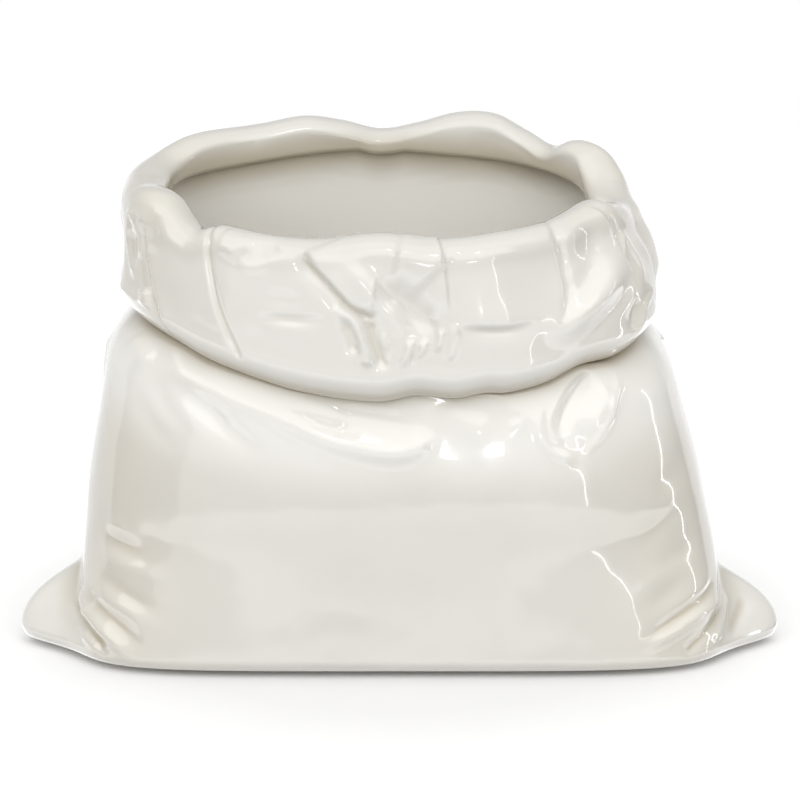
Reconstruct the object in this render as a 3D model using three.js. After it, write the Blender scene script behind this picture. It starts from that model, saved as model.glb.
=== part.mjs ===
import * as THREE from "three";

const { clamp, lerp, smoothstep, degToRad, radToDeg } = THREE.MathUtils;

// A glazed earthenware vase in the form of a filled paper bag with its top turned down in a thick collar.
// Millimetres, +Z up. The broad front faces -Y, and the origin is on the ground under the middle of the foot.

// Belly: its reach to the left and right just above the ears and level with the hem of the collar
const LEFT_LOW = 140.4;
const LEFT_HIGH = 125.5;
const RIGHT_LOW = 141.5;
const RIGHT_HIGH = 114.7;
const SIDE_BULGE = 1.4;
const FACE_BULGE = 5;
const TAPER_START = 31;
const TAPER_END = 135;
const TAPER_BLEND = 24;

// How square the outlines are: 2 is an ellipse, and more is squarer
const FOOT_SQUARENESS = 5;
const BELLY_SQUARENESS = 3;
const NECK_SQUARENESS = 2.6;
const SQUARE_FOOT_HEIGHT = 60;

// Foot
const FOOT_EDGE = 6;
const FOOT_RING = 34;
const FOOT_RECESS = 1.5;

// Corner ears, pinched flat and pointing a little forward at their tips
const EAR_SPAN = 335;
const EAR_NOSE = 6;
const EAR_TOP_LEFT = 32.5;
const EAR_TOP_RIGHT = 30;
const EAR_FORWARD = 12;
const EAR_BREADTH = 21.5;
const EAR_NARROWING = 0.55;
const EAR_FILLET = 0.12;

// Neck inside the collar, measured at its outer face, and the wall of the casting
const NECK_LEFT = 109.5;
const NECK_RIGHT = 99.5;
const WALL = 6;
const FLOOR = 8;
const FLOOR_COVE = 14;
const COVE_MIDDLE = 0.3;
const SHOULDER = 20;

// Collar
const HEM_HEIGHT = 138;
const RIM_HEIGHT = 202;
const COLLAR_STAND = 10.5;
const COLLAR_STAND_RIGHT = 2;
const COLLAR_BULGE = 1;
const COLLAR_LEAN_START = 0.45;
const COLLAR_SKIN = 5;
const HEM_ROLL = 14;
const HEM_SWELL = 0.9;
const HEM_SWELL_HEIGHT = 9;
const HEM_SWELL_REACH = 5;
const HEM_SOLID = 7;
const CROWN_DEPTH = 9.5;
const CROWN_DROP = 5.5;
const CROWN_SKIN = 6;
const LIP_THICKNESS = 4;
const LIP_THICKNESS_RIGHT = 12;
const LIP_ROUND = 2;
const RIGHT_END_START = 0.3;
const RIGHT_END_FULL = 0.8;

// Depth over the collar without its folds, and how far the belly stands out past the neck, low and high
const DEPTH = 148;
const NECK_REACH = DEPTH / 2 - COLLAR_STAND - COLLAR_BULGE;
const FRONT_STEP_LOW = 3.5;
const FRONT_STEP_HIGH = -0.5;
const BACK_STEP_LOW = 4.5;
const BACK_STEP_HIGH = 2.5;

// Felt pads under the foot
const PAD_DIAMETER = 16;
const PAD_THICKNESS = 2;
const PAD_EDGE = 0.4;
const PAD_INSET = 24;
const PAD_ALONG = 86;

// Gap between the two castings, filled by a film of glaze
const CLEARANCE = 0.3;

// Waves in the hem, the rim and the free edge of the lip: [degrees round, millimetres above the named height].
// 0 degrees is the right end, 90 the back, 180 the left end and -90 the middle of the front.
const HEM_WAVE = [
  [-165, 10], [-151, 7], [-140, 2.6], [-132, -2.8], [-124, -7.5], [-111, -14.5], [-95, -18.3], [-86, -15.6],
  [-77, -17], [-70, -15], [-65, -15.2], [-56, -12], [-47, -6], [-36, -5], [-21, -1.2], [0, 1.5], [30, 6],
  [60, 10], [90, 13], [120, 11], [150, 9],
];
const RIM_WAVE = [
  [-148, 1], [-136, -11], [-129, -8.5], [-117, -12], [-108, -12.5], [-94, -9.5], [-80, -12.5], [-66, -10],
  [-53, -8], [-35, -2], [-24, -5], [-8, -7], [12, -3], [22, 3.5], [29, 8.5], [36, 10.5], [42, 10], [50, 6.5],
  [58, 12], [66, 18], [76, 18], [86, 13.5], [95, 11], [103, 14.5], [111, 17], [122, 14], [140, 11.5], [155, 6],
  [172, 4], [195, 2],
];
const LIP_WAVE = [
  [-160, -12], [-130, -24], [-90, -27], [-45, -22], [-20, -19], [0, -15], [35, -7], [57, -2.5], [75, 0],
  [100, 2.5], [131, -3], [168, -7],
];

// Folds: a path on the surface and the height of the fold to the left and right of it, as seen from outside
// going along the path. A path's points are [millimetres round from the middle of the front, millimetres up].
function fold(width, left, right, path) {
  return { width, left, right, path };
}

// Folds of the collar, up from the height of the hem
const COLLAR_FOLDS = [
  fold(5, -2.2, -2.2, [[-84, 70], [-83, 55.5], [-81, 43], [-78.5, 29.5], [-74.5, 17], [-68.5, 4.5]]),
  fold(6, 1.2, 1.2, [[-86, 52], [-84.5, 41], [-82, 27], [-78, 16]]),
  fold(6, -1.6, -1.6, [[-70.5, 48], [-63, 46.5], [-55, 48], [-50, 50.5]]),
  fold(10, 3, -1.4, [[-41.5, 46], [-35, 39], [-30, 33.5], [-25, 28], [-19.5, 24], [-9.5, 21.5]]),
  fold(5, -1.4, -1.4, [[-50, 20.5], [-42, 20], [-36, 19], [-28.5, 19.5]]),
  fold(5, 1.4, 1.4, [[-47, 15], [-37, 16], [-30.5, 16.5], [-24, 17.5]]),
  fold(5, 2.2, 2.2, [[-29, 23.5], [-23, 22], [-19, 18], [-16.5, 12.5], [-14, 6.5], [-13, 1.5]]),
  fold(5, -2.2, -2.2, [[-14.5, 19], [-12.5, 11.5], [-9.5, 4.5], [-5.5, -2.5]]),
  fold(6, -2.4, -2.4, [[-9.5, 34.5], [-3.5, 30.5], [2, 27], [7.5, 22.5], [14, 19]]),
  fold(13, 2.2, 2.2, [[-6.5, 44], [5, 40.5], [16, 32.5]]),
  fold(5, 1, 1, [[15, 62], [15.5, 54], [17, 46.5], [18.5, 36], [20.5, 27.5], [22.5, 19]]),
  fold(5, 1.4, 1.4, [[-1.5, 16.5], [3, 9.5], [3, 3.5], [-1.5, -2.5]]),
  fold(5, 1.2, 1.2, [[17.5, 15.5], [15.5, 8], [11, 2]]),
  fold(8, 1.6, -1.8, [[23, 16], [31.5, 16], [39.5, 15.5], [48.5, 16], [59, 18]]),
  fold(5, -2.2, -2.2, [[70, 70], [69.5, 57], [69, 51], [71, 43.5], [72.5, 28.5], [70.5, 21], [66.5, 13]]),
  fold(6, -1.4, -1.4, [[86.5, 57.5], [88, 47.5], [86.5, 37.5]]),
  fold(8, 3.8, 3.8, [[103.5, 38], [97, 29], [88.5, 21], [79.5, 14.5], [71.5, 9], [64.5, 3], [61, -2]]),
  fold(6, -2.4, -2.4, [[93, 35], [85.5, 25.5], [77, 19], [69, 9.5]]),
  fold(6, -1.8, 1.2, [[92.5, 63.5], [98, 59], [103.5, 49.5], [108.5, 33.5], [108, 25], [102.5, 13]]),
  fold(5, 1.6, 1.6, [[116.5, 25], [122.5, 22], [116, 16.5], [113.5, 11], [108.5, 5.5]]),
  fold(9, 2.2, 2.2, [[126, 34], [141, 38], [155, 40], [172, 38]]),
  fold(13, -3.4, -3.4, [[-192, 33], [-174, 34], [-160, 35], [-146, 37], [-132, 38]]),
  fold(5, 1.4, 1.4, [[-123.5, 28], [-127.5, 36.5], [-131, 45.5], [-130.5, 55.5]]),
  fold(5, -1.6, -1.6, [[-111, 62], [-110.5, 51], [-112, 42]]),
  fold(6, 1.6, -1.8, [[-113, 42.5], [-111.5, 38], [-109.5, 26], [-105.5, 18], [-102.5, 10.5]]),
  fold(5, 2.4, 2.4, [[-113.5, 25.5], [-113.5, 22], [-114.5, 19]]),
  fold(7, -2, -2, [[144, 58], [140, 42], [142, 24], [138, 10]]),
  fold(8, 1.8, 1.8, [[160, 56], [154, 38], [158, 18]]),
  fold(8, 0.9, 0.9, [[-146, 52], [-142, 34], [-136, 14]]),
  fold(8, -2, 1.4, [[-170, 6], [-166, 24], [-160, 42], [-164, 62]]),
  fold(9, -2.2, 2, [[178, 72], [184, 52], [196, 34], [204, 12]]),
  fold(9, 2.4, -2, [[232, 66], [222, 48], [226, 30], [214, 8]]),
  fold(8, 1.8, -2.2, [[244, 26], [262, 20], [282, 24], [296, 18]]),
  fold(7, -2, 1.6, [[262, 74], [266, 58], [262, 40], [256, 24]]),
  fold(9, 3, 3, [[300, 50], [288, 38], [272, 32], [258, 12]]),
  fold(8, -2.4, -2.4, [[312, 40], [300, 28], [290, 10]]),
  fold(8, -2.2, 2, [[-300, 8], [-292, 26], [-288, 46], [-292, 72]]),
  fold(9, 2.4, -2.2, [[-276, 44], [-262, 34], [-250, 20], [-236, 16]]),
  fold(7, -2, -2, [[-240, 58], [-236, 40], [-240, 26]]),
  fold(9, 2.6, -2, [[-206, 66], [-210, 46], [-222, 28], [-226, 8]]),
  fold(8, -2.2, -2.2, [[-190, 56], [-194, 36], [-190, 16]]),
];

// Swags and hollows of the belly, up from the height of the hem
const SWAG_FOLDS = [
  fold(6, 1.6, 1.6, [[-139.5, 4], [-129, -1.5], [-118.5, -6]]),
  fold(6, -1, -1, [[-122.5, -12], [-111.5, -20], [-103.5, -27], [-91.5, -36]]),
  fold(6, 1, 1, [[-110, -17], [-102, -24], [-89, -32], [-75.5, -41]]),
  fold(7, 2.4, 2.4, [[-118.5, -3.5], [-102.5, -8.5], [-86, -14], [-67.5, -20], [-43.5, -28.5], [-23.5, -35.5],
    [-4, -39], [8, -36], [13, -28.5]]),
  fold(6, -2, -2, [[-45, -20], [-32, -21.5], [-19.5, -23.5], [-4.5, -26], [6, -29]]),
  fold(7, 1.4, 1.4, [[19.5, -22.5], [31.5, -28], [40.5, -30]]),
  fold(5, -3.6, -3.6, [[101.5, -7.5], [90.5, -13.5], [79.5, -21], [72.5, -27.5], [72.5, -34]]),
  fold(8, 3, 3, [[106, -11], [97.5, -18], [90.5, -27.5], [82.5, -37.5]]),
  fold(5, 1.2, 1.2, [[72.5, -16], [68.5, -21], [63.5, -30.5], [66.5, -38], [71.5, -42.5], [77, -43.5]]),
  fold(9, 2.2, -1.6, [[176, 2], [196, -12], [226, -26], [262, -32]]),
  fold(8, 2.4, -2, [[300, -24], [282, -20], [262, -14], [240, -6]]),
  fold(9, -1.8, 1.6, [[-214, -40], [-226, -18], [-244, -4]]),
  fold(9, 1.8, -1.6, [[-176, 0], [-184, -18], [-200, -34]]),
];

// Creases that run in from the ears, up from the foot
const CORNER_FOLDS = [
  fold(5, 2.2, 2.2, [[-143, 21.5], [-127.5, 20.5], [-117, 17.5], [-108.5, 13.5], [-99.5, 9.5]]),
  fold(5, -1.8, -1.8, [[-133, 14], [-121.5, 11.5], [-114.5, 8.5], [-106.5, 6]]),
  fold(5, -1.8, -1.8, [[-137, 28], [-122.5, 27], [-112, 25], [-104.5, 21.5], [-97.5, 17]]),
  fold(6, 1, 1, [[-130.5, 46], [-117, 44], [-102.5, 41], [-91, 38]]),
  fold(6, -1, -1, [[-128, 36.5], [-115, 33.5], [-102.5, 30.5], [-91.5, 27]]),
  fold(5, -1.8, -1.8, [[127, 30], [112.5, 28.5], [102, 26], [95, 22], [89.5, 17]]),
  fold(5, 2.2, 2.2, [[121, 23], [110, 20], [100.5, 16], [92, 12]]),
  fold(5, -1.6, -1.6, [[131, 16], [118.5, 12], [109, 7], [104.5, 4]]),
  fold(6, 1, 1, [[92, 37], [104, 42], [121.5, 46]]),
  fold(8, -2.4, -2.4, [[196, 32], [214, 24], [236, 12]]),
  fold(8, 2.4, 2.4, [[200, 20], [222, 12], [240, 6]]),
  fold(9, 1.6, 1.6, [[204, 46], [226, 38], [250, 34]]),
  fold(8, -2.4, -2.4, [[-200, 30], [-216, 22], [-238, 12]]),
  fold(8, 2.4, 2.4, [[-204, 18], [-222, 14], [-246, 8]]),
  fold(9, 1.6, 1.6, [[-206, 44], [-228, 38], [-246, 28]]),
];

// Fineness of the surfaces
const SIDES = 116;
const GIRTH_STEPS = 720;
const PATH_STEPS = 24;
const PAD_SIDES = 20;
const FOLD_END = 0.25;
const FOLD_REACH = 2.2;
const FOLD_LAP = 0.4;
const FRONT = -Math.PI / 2;

// Point of a closed outline at an angle, from the four half sizes and the squareness of its corners
function outline(angle, half, squareness) {
  const across = Math.cos(angle);
  const deep = Math.sin(angle);
  const size = (Math.abs(across) ** squareness + Math.abs(deep) ** squareness) ** (-1 / squareness);
  const x = (across > 0 ? half.right : half.left) * across * size;
  const y = (deep > 0 ? half.back : half.front) * deep * size;
  return new THREE.Vector2(x, y);
}

// Smooth closed wave through [degrees, rise] points that are in order of angle
function wave(points, angle) {
  const count = points.length;
  const at = (i) => {
    const turns = Math.floor(i / count);
    const [degrees, rise] = points[i - turns * count];
    return [degrees + 360 * turns, rise];
  };
  const start = points[0][0];
  const degrees = THREE.MathUtils.euclideanModulo(radToDeg(angle) - start, 360) + start;
  let i = 0;
  while (at(i + 1)[0] <= degrees) i += 1;
  const [before, low, high, after] = [at(i - 1), at(i), at(i + 1), at(i + 2)];
  const gap = high[0] - low[0];
  const s = (degrees - low[0]) / gap;
  const slopeLow = ((high[1] - before[1]) / (high[0] - before[0])) * gap;
  const slopeHigh = ((after[1] - low[1]) / (after[0] - low[0])) * gap;
  const rise = s * s * (3 - 2 * s);
  return lerp(low[1], high[1], rise) + s * (1 - s) * ((1 - s) * slopeLow - s * slopeHigh);
}

function hemHeight(angle) {
  return HEM_HEIGHT + wave(HEM_WAVE, angle);
}

function rimHeight(angle) {
  return RIM_HEIGHT + wave(RIM_WAVE, angle);
}

// The neck ends under the crown of the collar
function neckTop(angle) {
  return rimHeight(angle) - CROWN_SKIN - CLEARANCE;
}

// The lip always laps the neck by at least its own thickness
function lipEdge(angle) {
  return Math.min(RIM_HEIGHT + wave(LIP_WAVE, angle), neckTop(angle) - LIP_THICKNESS);
}

function neckOutline(angle) {
  const half = { left: NECK_LEFT, right: NECK_RIGHT, front: NECK_REACH, back: NECK_REACH };
  return outline(angle, half, NECK_SQUARENESS);
}

// Unit vector that points out of a closed outline at an angle
function outward(shape, angle) {
  const step = 0.002;
  const along = shape(angle + step).sub(shape(angle - step));
  return new THREE.Vector2(along.y, -along.x).normalize();
}

// How far the belly has rounded over into the neck at a height, as a quarter circle under the hem
function shoulderShare(angle, z) {
  const climb = clamp(1 + (z - hemHeight(angle)) / SHOULDER, 0, 1);
  return 1 - Math.sqrt(1 - climb * climb);
}

// Outline of the belly at a height, blending into the neck under the hem
function bagOutline(angle, z) {
  const rise = z - TAPER_START;
  const climb = (rise + Math.hypot(rise, TAPER_BLEND)) / 2 / (TAPER_END - TAPER_START);
  const swell = Math.sin(Math.PI * clamp(climb, 0, 1)) ** 2;
  const half = {
    left: lerp(LEFT_LOW, LEFT_HIGH, climb) + SIDE_BULGE * swell,
    right: lerp(RIGHT_LOW, RIGHT_HIGH, climb) + SIDE_BULGE * swell,
    front: NECK_REACH + lerp(FRONT_STEP_LOW, FRONT_STEP_HIGH, climb) + FACE_BULGE * swell,
    back: NECK_REACH + lerp(BACK_STEP_LOW, BACK_STEP_HIGH, climb) + FACE_BULGE * swell,
  };
  const squareness = lerp(FOOT_SQUARENESS, BELLY_SQUARENESS, smoothstep(z, 0, SQUARE_FOOT_HEIGHT));
  const belly = outline(angle, half, squareness);
  return belly.lerp(neckOutline(angle), shoulderShare(angle, z));
}

// Outline of the belly with the two ears drawn out of its ends
function earedOutline(angle, z) {
  const point = bagOutline(angle, z);
  const across = Math.cos(angle);
  const top = across > 0 ? EAR_TOP_RIGHT : EAR_TOP_LEFT;
  const climb = clamp((z - EAR_NOSE) / (top - EAR_NOSE), 0, 2);
  const spread = 1 - climb * climb;
  const reach = (spread + Math.hypot(spread, EAR_FILLET)) / 2;
  const length = EAR_SPAN / 2 - (across > 0 ? RIGHT_LOW : LEFT_LOW);
  const breadth = EAR_BREADTH * lerp(1, 1 - EAR_NARROWING, clamp(climb, 0, 1));
  const middle = -EAR_FORWARD * clamp(1 - climb, 0, 1);
  const taper = Math.exp(-(((point.y - middle) / breadth) ** 2)) * across * across;
  point.x += Math.sign(across) * length * reach * taper;
  return point;
}

// Lengths round an outline from the middle of the front, at equal steps of angle
function girth(shape) {
  const lengths = [0];
  for (let i = 1; i <= GIRTH_STEPS; i += 1) {
    const last = shape(FRONT + ((i - 1) / GIRTH_STEPS) * 2 * Math.PI);
    const next = shape(FRONT + (i / GIRTH_STEPS) * 2 * Math.PI);
    lengths.push(lengths[i - 1] + last.distanceTo(next));
  }
  return lengths;
}

// Angle that lies a length round from the middle of the front
function angleAlong(lengths, along) {
  const target = THREE.MathUtils.euclideanModulo(along, lengths[GIRTH_STEPS]);
  let i = 1;
  while (lengths[i] < target) i += 1;
  const share = (target - lengths[i - 1]) / (lengths[i] - lengths[i - 1]);
  return FRONT + ((i - 1 + share) / GIRTH_STEPS) * 2 * Math.PI;
}

// Angles that step round the neck in equal lengths
function evenAngles(count) {
  const lengths = girth(neckOutline);
  const total = lengths[GIRTH_STEPS];
  return Array.from({ length: count }, (_, i) => angleAlong(lengths, (i / count) * total));
}

const ANGLES = evenAngles(SIDES);

// How far an angle lies into the right end, where the collar hugs the neck and its lip is thick
function rightEnd(angle) {
  return smoothstep(Math.cos(angle), RIGHT_END_START, RIGHT_END_FULL);
}

function lipReach(angle) {
  return WALL + CLEARANCE + lerp(LIP_THICKNESS, LIP_THICKNESS_RIGHT, rightEnd(angle));
}

// How far the outer face of the collar stands off the neck at a height
function collarStand(angle, z) {
  const hem = hemHeight(angle) + CLEARANCE;
  const shoulder = rimHeight(angle) - CROWN_DEPTH;
  const climb = clamp((z - hem) / (shoulder - hem), 0, 1);
  const top = lerp(COLLAR_STAND, COLLAR_STAND_RIGHT, rightEnd(angle));
  const lean = smoothstep(climb, COLLAR_LEAN_START, 1);
  const face = lerp(COLLAR_STAND, top, lean) + COLLAR_BULGE * Math.sin(Math.PI * climb);
  const swell = HEM_SWELL * Math.exp(-(((z - hem - HEM_SWELL_HEIGHT) / HEM_SWELL_REACH) ** 2));
  const roll = clamp(1 - (z - hem) / HEM_ROLL, 0, 1);
  return CLEARANCE + (face + swell - CLEARANCE) * Math.sqrt(1 - roll * roll);
}

// Lengths of the collar's face and of its crown, whose outer half is deeper than its inner half
function collarLengths(angle) {
  const shoulder = rimHeight(angle) - CROWN_DEPTH;
  const half = (collarStand(angle, shoulder) + lipReach(angle)) / 2;
  return {
    face: shoulder - hemHeight(angle) - CLEARANCE,
    crown: (Math.PI / 2) * (half + (CROWN_DEPTH + CROWN_DROP) / 2),
  };
}

// Point of the collar's skin a distance up from its hem, on over the crown and down inside the mouth
function collarSkin(angle, climb) {
  const { face, crown } = collarLengths(angle);
  const start = Math.max(climb, 0);
  const rim = rimHeight(angle);
  const shoulder = rim - CROWN_DEPTH;
  if (start <= face) {
    const z = shoulder - face + start;
    return { out: collarStand(angle, z), z, normal: [1, 0] };
  }
  const stand = collarStand(angle, shoulder);
  const half = (stand + lipReach(angle)) / 2;
  const turn = Math.min((start - face) / crown, 1) * Math.PI;
  const fall = turn < Math.PI / 2 ? CROWN_DEPTH : CROWN_DROP;
  const down = Math.max(start - face - crown, 0);
  return {
    out: stand - half + half * Math.cos(turn),
    z: rim - fall * (1 - Math.sin(turn)) - down,
    normal: [Math.cos(turn), Math.sin(turn)],
  };
}

// Position in space of a point that stands off the neck
function offNeck(angle, out, z) {
  const point = neckOutline(angle).addScaledVector(outward(neckOutline, angle), out);
  return new THREE.Vector3(point.x, point.y, z);
}

// Folds laid on a surface as smooth lines in space
function layFolds(folds, place) {
  return folds.map((one) => {
    const curve = new THREE.CatmullRomCurve3(one.path.map(([along, up]) => place(along, up)));
    const line = curve.getPoints(PATH_STEPS);
    const area = new THREE.Box3().setFromPoints(line).expandByScalar(FOLD_REACH * one.width);
    return { ...one, line, area };
  });
}

// Height of one fold at a point of the surface
function foldHeight(one, point, normal) {
  if (!one.area.containsPoint(point)) return 0;
  let best = { distance: Infinity, side: 0, share: 0 };
  for (let i = 1; i < one.line.length; i += 1) {
    const start = one.line[i - 1];
    const along = one.line[i].clone().sub(start);
    const toPoint = point.clone().sub(start);
    const share = clamp(toPoint.dot(along) / along.lengthSq(), 0, 1);
    const across = toPoint.addScaledVector(along, -share);
    const distance = across.length();
    if (distance < best.distance) {
      const side = -along.normalize().cross(across).dot(normal);
      best = { distance, side, share: (i - 1 + share) / PATH_STEPS };
    }
  }
  if (best.distance > FOLD_REACH * one.width) return 0;
  const lap = FOLD_LAP * one.width;
  const height = lerp(one.left, one.right, smoothstep(best.side, -lap, lap));
  const ends = smoothstep(best.share, 0, FOLD_END) * smoothstep(1 - best.share, 0, FOLD_END);
  return height * Math.exp(-((best.distance / one.width) ** 2)) * ends;
}

function foldsHeight(folds, point, normal) {
  return folds.reduce((sum, one) => sum + foldHeight(one, point, normal), 0);
}

// Closed surface through rings of points, either capped at both ends or joined end to end
function skinRings(rings, capped) {
  const positions = rings.flat().flatMap((point) => point.toArray());
  const faces = [];
  const count = rings[0].length;
  const spans = capped ? rings.length - 1 : rings.length;
  for (let row = 0; row < spans; row += 1) {
    const low = row * count;
    const high = ((row + 1) % rings.length) * count;
    for (let i = 0; i < count; i += 1) {
      const next = (i + 1) % count;
      faces.push(low + i, low + next, high + next, low + i, high + next, high + i);
    }
  }
  if (capped) {
    const last = (rings.length - 1) * count;
    const middles = [rings[0], rings[rings.length - 1]].map((ring) => {
      const middle = new THREE.Vector3();
      ring.forEach((point) => middle.addScaledVector(point, 1 / count));
      positions.push(...middle.toArray());
      return positions.length / 3 - 1;
    });
    for (let i = 0; i < count; i += 1) {
      const next = (i + 1) % count;
      faces.push(middles[0], next, i, middles[1], last + i, last + next);
    }
  }
  const geometry = new THREE.BufferGeometry();
  geometry.setAttribute("position", new THREE.Float32BufferAttribute(positions, 3));
  geometry.setIndex(faces);
  geometry.computeVertexNormals();
  return geometry;
}

// Ring of the body: a horizontal outline, drawn in by an inset, at a height that may vary round the ring
function bodyRing(shape, height, inset, folds) {
  return ANGLES.map((angle) => {
    const z = height(angle);
    const level = (a) => shape(a, z);
    const normal = outward(level, angle);
    const point = level(angle).addScaledVector(normal, -inset);
    const at = new THREE.Vector3(point.x, point.y, z);
    if (folds.length > 0) {
      const fade = (1 - shoulderShare(angle, z)) * smoothstep(z, 0, FOOT_EDGE);
      const lift = fade * foldsHeight(folds, at, new THREE.Vector3(normal.x, normal.y, 0));
      at.x += normal.x * lift;
      at.y += normal.y * lift;
    }
    return at;
  });
}

function bagFolds() {
  const lengths = girth((angle) => bagOutline(angle, (TAPER_START + TAPER_END) / 2));
  const place = (base) => (along, up) => {
    const angle = angleAlong(lengths, along);
    const point = earedOutline(angle, base + up);
    return new THREE.Vector3(point.x, point.y, base + up);
  };
  return [...layFolds(SWAG_FOLDS, place(HEM_HEIGHT)), ...layFolds(CORNER_FOLDS, place(0))];
}

// The cast body: foot, ears, belly and shoulder outside, then over the top of the neck and down to the floor
function bagBody() {
  const folds = bagFolds();
  const level = (z) => () => z;
  const shoulderFoot = (angle) => hemHeight(angle) - SHOULDER;
  const rings = [
    bodyRing(bagOutline, level(FOOT_RECESS), FOOT_RING + FOOT_RECESS, []),
    bodyRing(bagOutline, level(0), FOOT_RING, []),
  ];
  for (const turn of [0, 30, 60, 90]) {
    const z = FOOT_EDGE * (1 - Math.cos(degToRad(turn)));
    const inset = FOOT_EDGE * (1 - Math.sin(degToRad(turn)));
    rings.push(bodyRing(earedOutline, level(z), inset, folds));
  }
  for (const share of [0.2, 0.45, 0.7, 1]) {
    rings.push(bodyRing(earedOutline, level(lerp(FOOT_EDGE, EAR_TOP_LEFT, share)), 0, folds));
  }
  for (const share of [0.12, 0.27, 0.43, 0.6, 0.75, 0.88, 1]) {
    rings.push(bodyRing(earedOutline, (angle) => lerp(EAR_TOP_LEFT, shoulderFoot(angle), share), 0, folds));
  }
  for (const turn of [24, 45, 68, 90]) {
    const climb = SHOULDER * Math.sin(degToRad(turn));
    rings.push(bodyRing(earedOutline, (angle) => shoulderFoot(angle) + climb, 0, folds));
  }
  rings.push(bodyRing(earedOutline, neckTop, 0, []));
  rings.push(bodyRing(bagOutline, neckTop, WALL, []));
  rings.push(bodyRing(bagOutline, hemHeight, WALL, []));
  for (const share of [1, 0.5, 0]) {
    const height = (angle) => lerp(FLOOR + FLOOR_COVE, shoulderFoot(angle), share);
    rings.push(bodyRing(bagOutline, height, WALL, []));
  }
  rings.push(bodyRing(bagOutline, level(FLOOR + FLOOR_COVE * COVE_MIDDLE), WALL + FLOOR_COVE * COVE_MIDDLE, []));
  rings.push(bodyRing(bagOutline, level(FLOOR), WALL + FLOOR_COVE, []));
  return skinRings(rings, true);
}

function collarFolds() {
  const lengths = girth((angle) => {
    const point = offNeck(angle, COLLAR_STAND, 0);
    return new THREE.Vector2(point.x, point.y);
  });
  return layFolds(COLLAR_FOLDS, (along, up) => {
    const angle = angleAlong(lengths, along);
    const skin = collarSkin(angle, HEM_HEIGHT + up - hemHeight(angle) - CLEARANCE);
    return offNeck(angle, skin.out, skin.z);
  });
}

// Ring of the collar's skin at a distance up from the hem, with its folds
function collarRing(climbOf, folds) {
  return ANGLES.map((angle) => {
    const skin = collarSkin(angle, climbOf(angle));
    const flat = outward(neckOutline, angle);
    const [out, up] = skin.normal;
    const normal = new THREE.Vector3(flat.x * out, flat.y * out, up);
    const point = offNeck(angle, skin.out, skin.z);
    return point.addScaledVector(normal, foldsHeight(folds, point, normal));
  });
}

// The collar: hem, creased face, rolled crown and inner lip, then back over the neck and down inside the skin
function rolledCollar() {
  const folds = collarFolds();
  const hem = (angle) => hemHeight(angle) + CLEARANCE;
  const behind = (out, height) => ANGLES.map((angle) => offNeck(angle, out(angle), height(angle)));
  const neckInside = () => -WALL - CLEARANCE;
  const rings = [];
  for (const turn of [0, 30, 55, 75]) {
    rings.push(collarRing(() => HEM_ROLL * (1 - Math.cos(degToRad(turn))), folds));
  }
  for (const share of [0, 0.13, 0.26, 0.39, 0.52, 0.65, 0.78, 0.9]) {
    rings.push(collarRing((angle) => lerp(HEM_ROLL, collarLengths(angle).face, share), folds));
  }
  for (const share of [0, 0.17, 0.33, 0.5, 0.67, 0.83, 1]) {
    rings.push(collarRing((angle) => collarLengths(angle).face + collarLengths(angle).crown * share, folds));
  }
  for (const turn of [0, 60, 120, 180]) {
    const side = Math.cos(degToRad(turn));
    const drop = LIP_ROUND * (1 - Math.sin(degToRad(turn)));
    const out = (angle) => lerp(neckInside(), -lipReach(angle), (1 + side) / 2);
    rings.push(behind(out, (angle) => lipEdge(angle) + drop));
  }
  rings.push(behind(neckInside, (angle) => neckTop(angle) + CLEARANCE));
  rings.push(behind(() => CLEARANCE, (angle) => neckTop(angle) + CLEARANCE));
  for (const share of [0.95, 0.7, 0.35, 0]) {
    rings.push(
      ANGLES.map((angle) => {
        const z = lerp(hem(angle) + HEM_SOLID, rimHeight(angle) - CROWN_DEPTH, share);
        const flat = outward(neckOutline, angle);
        const face = offNeck(angle, collarStand(angle, z), z);
        const lift = foldsHeight(folds, face, new THREE.Vector3(flat.x, flat.y, 0));
        const out = collarStand(angle, z) + Math.min(lift, 0) - COLLAR_SKIN;
        return offNeck(angle, Math.max(out, CLEARANCE), z);
      }),
    );
  }
  return skinRings(rings, false);
}

// A felt disc with slightly rounded edges
function footPad() {
  const radius = PAD_DIAMETER / 2;
  const profile = [
    new THREE.Vector2(0, 0),
    new THREE.Vector2(radius - PAD_EDGE, 0),
    new THREE.Vector2(radius, PAD_EDGE),
    new THREE.Vector2(radius, PAD_THICKNESS - PAD_EDGE),
    new THREE.Vector2(radius - PAD_EDGE, PAD_THICKNESS),
    new THREE.Vector2(0, PAD_THICKNESS),
  ];
  return new THREE.LatheGeometry(profile, PAD_SIDES).rotateX(Math.PI / 2);
}

const glaze = new THREE.MeshStandardMaterial({ color: 0xebe7dc, roughness: 0.08, metalness: 0 });
const felt = new THREE.MeshStandardMaterial({ color: 0xd9d4c8, roughness: 0.95, metalness: 0 });

const group = new THREE.Group();

const body = new THREE.Mesh(bagBody(), glaze);
body.name = "bag_body";
body.position.z = PAD_THICKNESS;
group.add(body);

const collar = new THREE.Mesh(rolledCollar(), glaze);
collar.name = "rolled_collar";
collar.position.z = PAD_THICKNESS;
group.add(collar);

for (const [row, step, side] of [["front", FRONT_STEP_LOW, -1], ["back", BACK_STEP_LOW, 1]]) {
  for (const [end, way] of [["left", -1], ["right", 1]]) {
    const pad = new THREE.Mesh(footPad(), felt);
    pad.name = `foot_pad_${row}_${end}`;
    pad.position.set(way * PAD_ALONG, side * (NECK_REACH + step - PAD_INSET), 0);
    group.add(pad);
  }
}

export default group;
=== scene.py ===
"""A glazed vase in the form of a filled paper bag with its top turned down, dressed for one view."""

import logging
import math
from collections.abc import Callable, Sequence
from dataclasses import astuple, dataclass, field
from enum import Enum

import bmesh
import bpy
import numpy as np
from mathutils import Matrix, Vector, noise


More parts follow.
